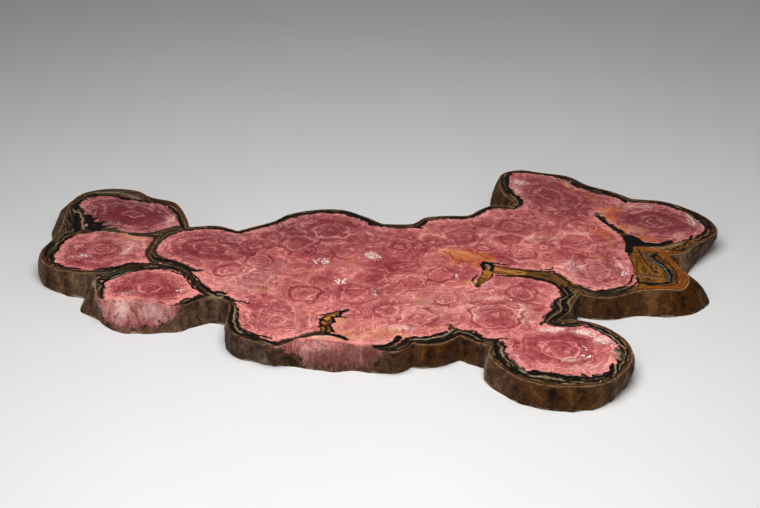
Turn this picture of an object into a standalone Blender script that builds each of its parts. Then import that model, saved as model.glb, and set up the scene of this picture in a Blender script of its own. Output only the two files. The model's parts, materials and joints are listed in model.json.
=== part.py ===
"""A sawn and polished slice of rhodochrosite, cut across a cluster of stalactites.

It is one solid that lies on its lower cut face. Units are metres with +Z up, and the
origin is on the base, under the middle of the slice. The upper sawn edge is drawn in
millimetres, stretch by stretch, and the rough wall is lofted from it down to the base.
"""
import math

import bmesh
import bpy
from mathutils import Vector, noise

# Driving dimensions, in millimetres
THICKNESS = 9.0            # between the two saw cuts
LIP_HEIGHT = 6.0           # where the wall's upper slope ends
EDGE_STEP = 1.9            # spacing of the corners along the sawn edge
WALL_LEVELS = (9.0, 8.3, LIP_HEIGHT, 4.2, 2.3, 0.6, 0.0)   # heights of the wall's rings
BELLY = 0.35               # how far natural skin swells at half height
FLUTE_PITCH = 5.5          # width of the upright flutes in natural skin
FLUTE_DEPTH = 0.75
FLUTE_DRIFT = 0.25         # how much a flute changes with height, against its change along the wall
LUMP_PITCH = 3.2           # size of the small lumps in natural skin
LUMP_DEPTH = 0.4
FACET_PITCH = 6.0          # size of the cleavage steps on a broken face
FACET_DEPTH = 1.3
FACET_FLATNESS = 1.6       # how much wider than high a step is
FACET_LEVEL = 0.45         # the mean distance from a step's middle, so that steps go in and out
CRISP_EDGE = 2.0           # below the sawn edge, the roughness grows to its full depth over this height
SMOOTHING_PASSES = 5       # evens out the directions in which the wall stands out

MM = 0.001
SLICE_NAME = "rhodochrosite_slice"

SKIN = "natural skin"
BROKEN = "broken face"

# The upper sawn edge, anticlockwise seen from above, one stretch for each lobe or gap.
# A point is (x, y, lip, foot): its place, and how far the wall stands out past it at
# LIP_HEIGHT and at the base. NOTCH marks a sharp turn between two lobes.
NOTCH = "notch"
STRETCHES = (
    ("left lobe", SKIN, (
        (-118.0, 17.5, 0.2, 0.8), (-119.8, 12.0, 0.2, 0.6), (-119.6, 6.0, 0.2, 0.6),
        (-117.0, 0.8, 0.3, 0.6), (-111.0, -3.6, 0.3, 0.9), (-104.5, -5.6, 0.4, 1.6),
        (-98.3, -7.6, 0.3, 1.4, NOTCH))),
    ("front-left flake", BROKEN, (
        (-98.5, -11.5, 0.8, 3.8), (-97.2, -15.6, 1.6, 5.2), (-96.2, -18.4, 0.9, 2.8),
        (-95.4, -21.4, 0.4, 0.6), (-93.3, -24.0, 0.8, 0.8))),
    ("front-left break", BROKEN, (
        (-89.0, -24.6, 1.8, 4.4), (-84.0, -24.8, 2.4, 6.2), (-79.0, -25.7, 2.2, 5.8),
        (-74.0, -27.0, 1.6, 4.4), (-69.6, -28.2, 0.8, 2.4))),
    ("left gap", SKIN, (
        (-66.0, -28.2, 0.4, 1.4), (-62.6, -25.8, 0.5, 1.3), (-59.2, -23.6, 0.6, 1.4),
        (-53.6, -23.4, 0.6, 1.6), (-50.6, -26.2, 0.3, 0.3))),
    ("left-centre lobe", SKIN, (
        (-50.1, -32.0, 0.3, 0.2), (-50.4, -39.0, 0.2, 0.1), (-48.8, -44.4, 0.0, -0.6),
        (-44.5, -48.3, -0.2, -0.8), (-38.5, -51.8, -0.7, -2.0), (-34.0, -54.0, -1.1, -2.7))),
    ("front break", BROKEN, (
        (-30.0, -52.4, 0.3, -1.0), (-26.0, -50.0, 2.2, 2.2), (-20.5, -49.6, 3.6, 4.4),
        (-14.5, -50.6, 3.0, 4.4), (-9.0, -52.6, 1.4, 2.0), (-3.5, -54.6, 0.5, 0.6))),
    ("front lobes", SKIN, (
        (1.0, -56.8, 0.0, -0.9), (5.0, -57.2, 0.0, -1.4), (8.4, -54.6, 0.0, -0.9),
        (10.3, -52.0, 0.0, -0.2, NOTCH), (14.5, -52.9, 0.2, -0.9), (20.0, -52.0, 0.3, -0.5),
        (25.8, -47.4, 0.1, 0.4, NOTCH), (30.0, -51.0, 0.3, -0.1),
        (35.0, -53.6, 0.0, 0.0, NOTCH))),
    ("front-right lobe", SKIN, (
        (34.2, -58.6, 0.6, 1.1), (37.0, -65.2, 0.4, 0.5), (42.2, -71.8, 0.2, 0.0),
        (50.0, -76.2, 0.2, -0.2), (59.0, -77.2, 0.2, 0.2), (69.0, -75.4, 0.1, -0.4),
        (75.2, -69.4, 0.1, -1.5), (79.3, -61.4, 0.3, -1.0), (79.6, -51.8, 0.4, -0.3),
        (74.4, -42.6, 0.3, 0.1), (66.5, -37.6, 0.4, 0.4), (58.2, -36.9, 0.0, 0.0, NOTCH))),
    ("right rim", SKIN, (
        (62.3, -32.6, 0.2, 0.3), (64.7, -26.0, 0.2, 0.2), (67.4, -20.9, 0.0, 0.0, NOTCH),
        (71.4, -22.4, 0.2, -0.6), (77.0, -23.0, 0.3, -0.6), (83.5, -20.5, 0.5, 0.3),
        (88.0, -18.4, 0.7, 1.7))),
    ("right tip", SKIN, (
        (94.5, -17.4, 0.8, 2.6), (102.4, -17.4, 1.4, 3.0), (105.0, -13.6, 2.7, 5.2),
        (106.2, -8.8, 3.5, 7.4), (105.2, -4.6, 3.2, 6.8), (103.6, 0.4, 1.8, 4.0),
        (101.6, 6.8, 0.6, 1.8, NOTCH))),
    ("right lobe", SKIN, (
        (107.6, 8.8, 0.4, 1.2), (112.4, 14.4, 0.2, -0.6), (118.0, 19.4, -0.4, -2.4),
        (122.3, 25.4, -0.6, -3.8), (121.2, 34.0, 0.0, -2.2), (115.6, 42.4, 0.3, -0.2),
        (106.4, 49.4, 0.4, 0.7), (95.2, 51.6, 0.0, 0.0, NOTCH))),
    ("back-right lobe", SKIN, (
        (88.0, 58.0, 0.3, 0.5), (79.6, 63.4, 0.3, 0.5), (73.0, 71.0, 0.3, 0.4),
        (63.5, 74.2, 0.2, -0.2), (54.0, 76.8, 0.2, -0.4), (47.4, 73.2, 0.7, 1.2),
        (45.5, 64.0, 1.6, 3.2), (47.0, 55.2, 1.5, 3.0), (50.2, 48.6, 0.6, 1.2),
        (49.0, 45.6, 0.0, 0.0, NOTCH))),
    ("back edge, right", SKIN, (
        (42.0, 46.2, 0.3, 0.4), (36.6, 42.2, 0.3, 0.4), (32.6, 38.0, 0.0, 0.0),
        (24.0, 37.7, 0.3, 0.5), (16.6, 36.2, 0.3, 0.5), (12.0, 31.4, 0.0, 0.0),
        (1.2, 31.1, 0.0, 0.0, NOTCH))),
    ("back edge, left", SKIN, (
        (-6.0, 37.4, 0.4, 0.6), (-13.5, 42.3, 0.5, 0.9), (-22.5, 42.8, 0.4, 0.7),
        (-34.0, 38.6, 0.2, 0.2), (-38.6, 33.6, 0.2, 0.1), (-51.4, 25.8, 0.0, 0.0, NOTCH),
        (-59.5, 29.7, 0.4, 0.7), (-69.2, 28.8, 0.0, 0.0, NOTCH))),
    ("rear-left lobe", SKIN, (
        (-72.0, 38.6, 0.3, 0.5), (-77.0, 48.6, 0.3, 0.5), (-86.2, 53.0, 0.2, 0.2),
        (-92.6, 58.6, 0.4, 0.6), (-103.0, 60.3, 0.8, 1.5), (-111.6, 57.2, 2.4, 3.8),
        (-115.8, 49.6, 3.2, 5.0), (-116.4, 39.0, 2.8, 5.4), (-116.2, 28.0, 1.4, 3.6),
        (-117.0, 22.4, 0.5, 1.6))),
)


def clear_scene():
    """Remove whatever the file holds."""
    for leftover in list(bpy.data.objects):
        bpy.data.objects.remove(leftover, do_unlink=True)


def edge_points():
    """Return the edge's points as (x, y, lip, foot, brokenness) vectors, and their notch flags."""
    points, notches = [], []
    for _name, surface, stretch in STRETCHES:
        for point in stretch:
            points.append((*point[:4], 1.0 if surface is BROKEN else 0.0))
            notches.append(NOTCH in point)
    return points, notches


def span_tangent(before, here, after, span):
    """Return the slope at a point of a centripetal curve, scaled for a span of the given length."""
    reach_in = math.sqrt(math.dist(before[:2], here[:2]))
    reach_out = math.sqrt(math.dist(here[:2], after[:2]))
    tangent = []
    for b, h, a in zip(before, here, after):
        slope = (h - b) / reach_in - (a - b) / (reach_in + reach_out) + (a - h) / reach_out
        tangent.append(math.sqrt(span) * slope)
    return tuple(tangent)


def sawn_edge():
    """Run a smooth closed curve through the edge's points, sharp at the notches."""
    points, notches = edge_points()
    count = len(points)
    samples = []
    for i in range(count):
        before, start, end, after = (points[(i + k) % count] for k in (-1, 0, 1, 2))
        chord = tuple(e - s for s, e in zip(start, end))
        span = math.dist(start[:2], end[:2])
        leave = chord if notches[i] else span_tangent(before, start, end, span)
        arrive = chord if notches[(i + 1) % count] else span_tangent(start, end, after, span)
        steps = max(1, round(span / EDGE_STEP))
        for k in range(steps):
            t = k / steps
            weights = (2 * t**3 - 3 * t**2 + 1, t**3 - 2 * t**2 + t, 3 * t**2 - 2 * t**3, t**3 - t**2)
            samples.append(tuple(sum(w * v for w, v in zip(weights, values))
                                 for values in zip(start, leave, end, arrive)))
    return samples


def outward_directions(samples):
    """Return, for each sample, the horizontal direction in which the wall stands out."""
    count = len(samples)
    directions = []
    for i in range(count):
        ahead, behind = samples[(i + 1) % count], samples[i - 1]
        directions.append(Vector((ahead[1] - behind[1], behind[0] - ahead[0])).normalized())
    for _ in range(SMOOTHING_PASSES):
        directions = [(directions[i - 1] + 2 * directions[i] + directions[(i + 1) % count]).normalized()
                      for i in range(count)]
    return directions


def standing_out(lip, foot, height):
    """Return how far the wall stands out past the sawn edge at a height."""
    if height >= LIP_HEIGHT:
        return lip * (THICKNESS - height) / (THICKNESS - LIP_HEIGHT)
    return lip + (foot - lip) * (LIP_HEIGHT - height) / LIP_HEIGHT


def relief(x, y, height, brokenness):
    """Return the wall's roughness: flutes and lumps on natural skin, steps on a broken face."""
    growth = min(1.0, (THICKNESS - height) / CRISP_EDGE)
    flutes = FLUTE_DEPTH * noise.noise(Vector((x, y, height * FLUTE_DRIFT)) / FLUTE_PITCH)
    lumps = LUMP_DEPTH * noise.noise(Vector((x, y, height)) / LUMP_PITCH)
    belly = BELLY * math.sin(math.pi * height / THICKNESS)
    skin = flutes + lumps + belly
    nearest_step = noise.voronoi(Vector((x, y, height * FACET_FLATNESS)) / FACET_PITCH)[0][0]
    steps = FACET_DEPTH * (FACET_LEVEL - nearest_step)
    share = min(1.0, max(0.0, brokenness))
    return growth * (skin + (steps - skin) * share)


def wall_ring(bm, samples, directions, height):
    """Add one closed ring of corners at a height."""
    ring = []
    for (x, y, lip, foot, brokenness), outward in zip(samples, directions):
        reach = standing_out(lip, foot, height) + relief(x, y, height, brokenness)
        ring.append(bm.verts.new((x + outward.x * reach, y + outward.y * reach, height)))
    return ring


def close_cut_face(bm, ring):
    """Fill a ring with the flat face that the saw left."""
    rim = [bm.edges.get((ring[i - 1], ring[i])) for i in range(len(ring))]
    bmesh.ops.triangle_fill(bm, use_beauty=True, edges=rim)


def build_slice_mesh():
    """Loft the wall from the sawn edge to the base, and close it with the two cut faces."""
    samples = sawn_edge()
    directions = outward_directions(samples)
    bm = bmesh.new()
    rings = [wall_ring(bm, samples, directions, height) for height in WALL_LEVELS]
    for upper, lower in zip(rings, rings[1:]):
        for i in range(len(samples)):
            bm.faces.new((upper[i - 1], lower[i - 1], lower[i], upper[i]))
    bmesh.ops.triangulate(bm, faces=bm.faces)
    close_cut_face(bm, rings[0])
    close_cut_face(bm, rings[-1])
    bmesh.ops.recalc_face_normals(bm, faces=bm.faces)
    bmesh.ops.scale(bm, vec=(MM, MM, MM), verts=bm.verts)
    mesh = bpy.data.meshes.new(SLICE_NAME)
    bm.to_mesh(mesh)
    bm.free()
    return mesh


def stone_material():
    """Return the polished pink stone."""
    material = bpy.data.materials.new("polished_rhodochrosite")
    material.use_nodes = True
    surface = material.node_tree.nodes["Principled BSDF"]
    surface.inputs["Base Color"].default_value = (0.53, 0.16, 0.15, 1.0)
    surface.inputs["Roughness"].default_value = 0.28
    surface.inputs["Metallic"].default_value = 0.0
    return material


def main():
    """Model the slice and put it in its own collection."""
    clear_scene()
    mesh = build_slice_mesh()
    mesh.materials.append(stone_material())
    piece = bpy.data.objects.new(SLICE_NAME, mesh)
    collection = bpy.data.collections.new("rhodochrosite slice")
    bpy.context.scene.collection.children.link(collection)
    collection.objects.link(piece)


main()
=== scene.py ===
"""A sawn and polished slice across a cluster of rhodochrosite stalactites.

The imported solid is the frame. One dressed mesh stands for it: its two cut faces carry
the rosettes, growth bands and dark veins, and its wall the rough brown skin. Lengths in
the tables are millimetres on the upper cut face, x to the right and y to the back.
"""

import json
import logging
import math
from dataclasses import dataclass, field
from enum import Enum, IntEnum

import bpy
import numpy as np
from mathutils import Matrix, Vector, noise
from mathutils.geometry import delaunay_2d_cdt

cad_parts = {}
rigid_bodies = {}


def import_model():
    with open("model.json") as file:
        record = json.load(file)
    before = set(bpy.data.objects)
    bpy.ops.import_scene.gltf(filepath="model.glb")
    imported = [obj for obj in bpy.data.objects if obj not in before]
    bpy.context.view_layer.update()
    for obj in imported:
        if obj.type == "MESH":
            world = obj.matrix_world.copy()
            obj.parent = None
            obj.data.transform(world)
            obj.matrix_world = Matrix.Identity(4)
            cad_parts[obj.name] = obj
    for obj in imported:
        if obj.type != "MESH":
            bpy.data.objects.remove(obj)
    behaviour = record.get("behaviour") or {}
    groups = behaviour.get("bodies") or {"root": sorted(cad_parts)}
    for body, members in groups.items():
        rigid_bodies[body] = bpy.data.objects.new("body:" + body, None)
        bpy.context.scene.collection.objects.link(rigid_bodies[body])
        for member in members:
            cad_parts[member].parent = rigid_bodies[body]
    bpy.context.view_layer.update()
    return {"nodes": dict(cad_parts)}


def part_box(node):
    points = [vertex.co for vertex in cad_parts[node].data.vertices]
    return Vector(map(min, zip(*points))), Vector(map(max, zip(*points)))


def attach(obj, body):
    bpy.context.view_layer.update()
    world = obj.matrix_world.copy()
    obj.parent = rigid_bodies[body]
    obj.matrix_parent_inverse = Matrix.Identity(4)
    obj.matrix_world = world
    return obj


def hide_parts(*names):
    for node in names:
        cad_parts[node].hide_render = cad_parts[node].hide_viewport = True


LOG = logging.getLogger("rhodochrosite")
MM = 0.001
THICKNESS = 9.0
NODE = "rhodochrosite_slice"
PIECE = "polished_slice"
WIDTH, BLACK, OCHRE, WARMTH, PINK = range(5)  # the columns of the rim's measures

Rows = tuple[tuple[float, ...], ...]
Triple = tuple[float, float, float]
Colour = tuple[float, float, float, float]
Stops = tuple[tuple[float, Colour], ...]
Array = np.ndarray
Pair = tuple[Array, Array]
Fields = dict[str, Array]


# ---------------------------------------------------------------- what the stone is made of


class Region(IntEnum):
    """A part of the slice's surface, numbered as its material is."""

    FACE = 0
    BASE = 1
    WALL = 2


class Mineral(Enum):
    """What a vein or line in the stone is filled with; the white lines are partly white specks and
    partly painted glints.
    """

    BROWN = "brown"
    OLIVE = "olive"
    AMBER = "amber"
    RUST = "rust"
    CREAM = "cream"
    SLATE = "slate"
    BLACK = "black"
    WHITE = "white_glint"


class Tint(Enum):
    """A soft change of colour inside the pink stone; some plum, umber and white stains are painted
    shade or painted highlights instead.
    """

    PALE = (224, 160, 152)
    ROSE = (146, 60, 62)
    PLUM_AND_SHADE = (107, 49, 54)
    ORANGE = (206, 106, 42)
    RED = (164, 56, 34)
    CREAM = (218, 152, 110)
    YELLOW = (184, 124, 88)
    LILAC = (166, 98, 112)
    UMBER = (98, 58, 46)
    WHITE = (238, 190, 182)


PALE, ROSE, PLUM_AND_SHADE, ORANGE, RED, CREAM, YELLOW, LILAC, UMBER, WHITE = Tint
EARTHY = (ORANGE, RED, CREAM, YELLOW, UMBER)


@dataclass(frozen=True)
class RimStation:
    """The dark rim at the place (x, y) of the sawn edge.

    Args:
        width: How far the rim reaches into the stone.
        black: How strong its manganese lines are, 0 to 1.
        ochre: How golden its brown bands are, 0 to 1.
        warmth: How orange the wall below is, 0 to 1.
        pink: How much bare pink stone the wall shows, 0 to 1.
    """

    x: float
    y: float
    width: float
    black: float = 1.0
    ochre: float = 0.0
    warmth: float = 0.3
    pink: float = 0.0


@dataclass(frozen=True)
class Seam:
    """A banded seam between two stalactites: rows of x, y, half width along its middle."""

    black: float
    ochre: float
    course: Rows


@dataclass(frozen=True)
class Rosette:
    """One stalactite's rings: the radii of core, pale ring, dark ring and outer reach.

    A fitted one fills a lobe of its own, so that its outer rings follow the lobe's rim.
    """

    x: float
    y: float
    core: float
    pale: float
    dark: float
    reach: float
    stretch: float = 1.0
    turn: float = 0.0
    strength: float = 1.0
    fitted: bool = False


@dataclass(frozen=True)
class Vein:
    """A line of one mineral: its half width and its course."""

    half_width: float
    course: Rows


@dataclass(frozen=True)
class Stain:
    """A soft oval patch of one tint, turned by some degrees about its middle (x, y)."""

    tint: Tint
    x: float
    y: float
    across: float
    along: float
    strength: float
    turn: float = 0.0


def rows(size: int, numbers: tuple[float, ...]) -> Rows:
    """Cut a run of numbers into rows of the given size."""
    return tuple(zip(*[iter(numbers)] * size))


def veins(*table: tuple[float, ...]) -> tuple[Vein, ...]:
    """Make veins from rows of a half width and then x, y, x, y along the course."""
    return tuple(Vein(row[0], rows(2, row[1:])) for row in table)


# Rows of x, y, width, black, ochre, warmth, pink.
RIM = tuple(RimStation(*row) for row in (
    (-118, 17.5, 4.5, 1, 0.2, 0.6), (-119.8, 12, 5.8, 1, 0.2, 0.6), (-119, 4.5, 5, 1, 0.2, 0.6),
    (-115.5, -1.5, 3.2, 1, 0.1, 0.55), (-111, -3.6, 2.4, 0.8, 0.1, 0.5),
    (-104.5, -5.6, 2.4, 0.9, 0.1, 0.4), (-98.3, -7.6, 2.5, 1, 0.1, 0.1),
    (-97.2, -15.6, 3.6, 0.7, 0.2, 0.4, 0.2), (-95.4, -21.4, 2.6, 0.7, 0.2, 0.4, 0.3),
    (-89, -24.6, 0.5, 0.3, 0.3, 0.4, 0.8), (-79, -25.7, 0.5, 0.3, 0.3, 0.4, 0.8),
    (-69.6, -28.2, 1.2, 0.8, 0.1, 0.3, 0.5), (-64.5, -27, 4, 1, 0.1, 0.2),
    (-59.2, -23.6, 3.2, 1, 0.1, 0.2), (-53.6, -23.4, 2.4, 1, 0.1, 0.2),
    (-50.6, -26.2, 2.2, 1, 0.1, 0.2), (-50.1, -32, 2.6, 1, 0, 0), (-50.4, -39, 3.9, 1, 0, 0),
    (-44.5, -48.3, 3.8, 1, 0, 0), (-38.5, -51.8, 3.2, 1, 0, 0.05), (-34, -54, 2.6, 1, 0, 0.3, 0.1),
    (-30, -52.4, 1.2, 0.8, 0.1, 0.5, 0.34), (-26, -50, 0.3, 0.4, 0.3, 0.5, 0.6),
    (-14.5, -50.6, 0.3, 0.3, 0.3, 0.5, 1), (-6, -53.6, 0.3, 0.2, 0.3, 0.5, 1),
    (-2, -55.4, 1.6, 0.8, 0.2, 0.4, 0.6), (1, -56.8, 3.4, 1, 0.2, 0.4, 0.05),
    (5, -57.2, 5.6, 1, 0.3, 0.8), (10.3, -52, 4, 1, 0.2, 0.8), (14.5, -52.9, 4.6, 1, 0.1, 0.95),
    (20, -52, 5, 1, 0.1, 0.95), (25.8, -47.4, 4.4, 1, 0.2, 0.8), (30, -51, 4.4, 1, 0.1, 0.9),
    (35, -53.6, 5, 1, 0.1, 0.2), (34.2, -58.6, 6.4, 1, 0.1, 0.1), (37, -65.2, 6, 1, 0.1, 0.6),
    (42.2, -71.8, 5.2, 1, 0.1, 0.8), (50, -76.2, 7.4, 1, 0.2, 0.9), (59, -77.2, 6.6, 1, 0.2, 0.9),
    (69, -75.4, 5, 1, 0.2, 0.8), (75.2, -69.4, 3.8, 1, 0.2, 0.6), (79.3, -61.4, 4.2, 0.9, 0.3, 0.5),
    (79.6, -51.8, 3.6, 1, 0.3, 0.5), (74.4, -42.6, 3.4, 1, 0.2, 0.4), (66.5, -37.6, 3, 0.8, 0.1),
    (58.2, -36.9, 4.4, 0.7, 0.1), (62.3, -32.6, 7, 0.35, 0.1), (64.7, -26, 6.6, 0.25, 0.25),
    (67.4, -20.9, 6.6, 0.4, 0.4, 0.4), (71.4, -22.4, 4.6, 0.9, 0.2, 0.8), (77, -23, 6, 1, 0.1, 0.9),
    (83.5, -20.5, 5.6, 1, 0.1, 0.9), (88, -18.4, 4.6, 0.6, 0.6, 0.7), (94.5, -17.4, 4, 0.1, 1, 0.9),
    (102.4, -17.4, 4, 0.1, 1, 1), (106.2, -8.8, 4, 0.1, 1, 0.9), (103.6, 0.4, 3, 0.1, 1, 0.6),
    (101.6, 6.8, 3, 0.2, 0.9, 0.4), (107.6, 8.8, 3.6, 0.9, 0.6), (112.4, 14.4, 4.2, 1, 0.5, 0.2),
    (118, 19.4, 4.2, 1, 0.3, 0.2), (122.3, 25.4, 4.6, 1, 0.3, 0.2), (121.2, 34, 4.4, 1, 0.2, 0.2),
    (115.6, 42.4, 3.8, 1, 0.1, 0.2), (106.4, 49.4, 2.4, 1, 0.1, 0.2), (95.2, 51.6, 3, 1, 0.2, 0.2),
    (88, 58, 4.6, 1, 0.2, 0.2), (79.6, 63.4, 4.2, 1, 0.2, 0.2), (73, 71, 3.6, 1, 0.2, 0.2),
    (63.5, 74.2, 1.8, 1, 0.2, 0.2), (54, 76.8, 2.6, 1, 0.2), (47.4, 73.2, 3.4, 1, 0.3, 0.6),
    (45.5, 64, 4, 1, 0.3, 0.7), (47, 55.2, 4.2, 1, 0.3, 0.6), (50.2, 48.6, 3.2, 1, 0.2, 0.4),
    (42, 46.2, 2.8, 0.8, 0.2), (36.6, 42.2, 2.6, 0.8, 0.2), (32.6, 38, 2.4, 0.8, 0.2),
    (24, 37.7, 2.8, 0.9, 0.1, 0.2), (16.6, 36.2, 3.2, 0.8, 0.4), (12, 31.4, 3.2, 0.9, 0.2, 0.2),
    (1.2, 31.1, 2.6, 0.9, 0.2, 0.2), (-6, 37.4, 3.2, 1, 0.1, 0.2), (-22.5, 42.8, 3, 1, 0.1, 0.2),
    (-34, 38.6, 3.4, 1, 0.1, 0.2), (-38.6, 33.6, 2.4, 0.8, 0.3, 0.4),
    (-51.4, 25.8, 2.4, 0.9, 0.3, 0.4), (-59.5, 29.7, 3, 1, 0.1, 0.2), (-69.2, 28.8, 3, 1, 0.1, 0.2),
    (-72, 38.6, 3.8, 0.7, 0.35, 0.7), (-77, 48.6, 4.2, 0.7, 0.35, 0.7),
    (-86.2, 53, 4.2, 0.9, 0.3, 0.4), (-92.6, 58.6, 6, 1, 0.2, 0.2), (-103, 60.3, 6, 1, 0.2, 0.2),
    (-111.6, 57.2, 4.8, 1, 0.2), (-115.8, 49.6, 3.8, 1, 0.2), (-116.4, 39, 7.4, 1, 0.2),
    (-116.2, 28, 10, 1, 0.2), (-117, 22.4, 6.5, 1, 0.2, 0.2),
))

# Rows of black, ochre, and then x, y, half width along the seam.
SEAMS = tuple(Seam(*row[:2], rows(3, row[2:])) for row in (
    (0.5, 0.15, -113, 24, 2, -106, 25.5, 2.2, -101, 27.5, 2, -94, 24.8, 1, -90, 23.4, 1.1,
    -86, 22.4, 1.5, -82, 22.6, 2.2, -77, 24.5, 3.2, -73, 27, 3),
    (0.4, 0.15, -77.5, 24, 3.2, -79.8, 18, 2.3, -80.8, 13, 2.1, -80.8, 8, 2.5, -78.4, 3.6, 3),
    (1, 0, -103, -4.8, 1.6, -98.5, -6.5, 2.6, -94.6, -7.2, 4.2, -90.5, -4, 4, -86.5, -1.8, 3.6,
    -81, -0.6, 3, -76, -1, 2.2, -73, -2, 1.8),
    (1, 0.3, -80, 4.6, 1.2, -76, 3.2, 2, -72, 1.2, 2.4, -68.5, -1.2, 1.9, -65, -3.6, 1.2,
    -61.5, -4, 0.5),
    (0.9, 0.2, -73, -2, 1.3, -68.5, -4.4, 1.4, -65.6, -7.4, 1.5, -63.4, -11.5, 1.5,
    -61.3, -15.4, 1.8, -58.6, -18.6, 2.2, -56, -21.5, 2.6),
    (0.45, 0.85, -11, -31, 0.6, -14.4, -33, 1.2, -17.2, -35.4, 2, -17.8, -39.6, 2,
    -17.4, -43.8, 2.2),
    (0.7, 0.2, -35, -52.6, 1.6, -30, -50.4, 1.2, -26, -48.4, 1, -21.5, -46, 1.3, -17.5, -44.8, 1.8),
    (1, 0, 57, -34.5, 2.4, 54.4, -37.6, 1.3, 52.3, -40.4, 0.4),
    (0.2, 0.9, 36.8, 1.5, 1.2, 38.6, -2, 2.6, 42, -4, 3.1, 46, -5, 3, 51, -6, 2.7),
    (0.2, 0.52, 51, -6, 2.7, 55.5, -7, 3.4, 60, -9.5, 4, 63, -14, 3.5, 65, -18.5, 3),
    (0.1, 1, 37.2, -3, 1.6, 36.8, -7.5, 2.4, 34.6, -11.5, 1.6, 33, -15, 0.8),
    (1, 0.3, 80, 39.5, 0.6, 81.2, 35.5, 1.2, 82.6, 32, 1, 84.6, 28.5, 1.2, 87, 24.5, 1.6),
    (0.1, 1, 88, 22, 1.6, 90, 18, 3, 90.5, 12, 3.4, 90.8, 5, 3.6, 91.4, -2, 4.2, 91.8, -8, 4.4,
    92, -13, 4.6), (0.1, 1, 95, 6, 2.6, 95.6, -1, 2.6, 95.8, -9, 2.6),
    (0.1, 1, 94, 12, 3.4, 98, 9, 4, 99, 2, 4.4, 99.5, -5, 4.6, 99, -12, 4.6),
    (0.3, 0.8, 95, 14, 2.4, 101, 13.2, 2.6, 106.5, 13.6, 2.8, 110.5, 17, 2.6),
    (0.6, 0.5, 22.8, -40.6, 0.5, 23.6, -43.4, 1.8, 25.6, -45.6, 2),
))

# Rows of x, y, core, pale, dark, reach, stretch, turn, strength, fitted.
ROSETTES = tuple(Rosette(*row) for row in (
    (-91.5, 39, 1.4, 3.2, 6.5, 16, 1.15, 0, 1, True), (-98, 12, 1.6, 4, 7, 15, 1.2, 0, 0.9, True),
    (-78, -17, 1.5, 3.8, 7, 16, 1.1, 0, 1, True),
    (-60, 12.5, 3, 5.6, 8.6, 15, 1.35, -12, 1.1, True),
    (-34, -38, 1.2, 2.4, 5.6, 14, 1.1, 0, 1, True),
    (57, -55.5, 3, 5.6, 7.6, 17, 1.12, 0, 0.8, True), (101, 33, 3, 6, 9, 16, 1.1, 0, 0.85, True),
    (64, 55, 2, 5, 9, 18, 1.3, -25, 0.55, True), (-29, 17, 3.2, 5.6, 7.5, 10, 1.1, 0, 1.1),
    (-26, 10.5, 1.5, 3.2, 4.3, 5.2, 1, 0, 0.8), (-18, 26, 2.5, 5.5, 8, 11),
    (-42.5, 3, 2.6, 4.4, 5.6, 8, 1, 0, 0.8), (-42, -8.5, 3, 5, 6.8, 9, 1.1, 0, 0.9),
    (-37, -5.5, 1.4, 2.4, 3.2, 4.2, 1, 0, 0.8), (-25, -20, 2.4, 3.9, 6.2, 9, 1, 0, 1.2),
    (-9, -20, 2.8, 4.6, 6, 8, 1, 0, 0.9), (3, -31, 2.5, 4, 5.2, 7),
    (4, -17, 1.5, 4, 5.2, 6.6, 1, 0, 0.7), (6.5, 13.5, 3, 7, 8.8, 12, 1.15),
    (9, -1.5, 2, 3.2, 4.4, 6.6, 2, 8, 0.9), (21, -7, 2, 3.4, 5.5, 8, 1, 0, 1.3),
    (10.5, -13.5, 2.8, 4, 5, 6.2, 1, 0, 0.8), (8.5, -25, 2, 3, 4, 5.4, 1, 0, 0.7),
    (12, -35, 2.8, 4.6, 6.4, 9, 1.1), (22.5, -23.5, 1.8, 3.2, 4.8, 7.4, 1.1),
    (38, -34, 5.6, 7, 8.8, 11, 1, 0, 1.05), (47.5, -20, 1.5, 3.1, 5.2, 8.5, 1.1),
    (30, 21.5, 2, 3.4, 6, 9.4, 1.1, 0, 1.1), (48, 29, 1.5, 2.7, 4.8, 8),
    (52, 37.5, 1.4, 3, 4.4, 7.2, 1.3, 0, 0.8), (50.5, 9, 1.5, 3.6, 5.2, 7.6, 1, 0, 0.9),
    (46, 19, 0.9, 2.4, 3.5, 5.2, 1, 0, 0.7), (70, 18, 2, 4, 6, 9, 1.1, 0, 0.9),
    (75, -4, 2, 4, 6.4, 13, 1, 0, 1.1, True), (74, 29, 2.6, 4.2, 6, 8.6, 1.3, -20, 0.9),
    (-52, -4, 1.8, 3.4, 4.8, 7, 1.1, 0, 0.7), (-12, 10, 1.6, 3.4, 4.8, 7, 1, 0, 0.4),
    (62, 6, 1.4, 3, 4.4, 6.4, 1, 0, 0.5), (-44, 14, 1.8, 3.6, 5.4, 8, 1.4, 0, 0.6),
))

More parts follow.
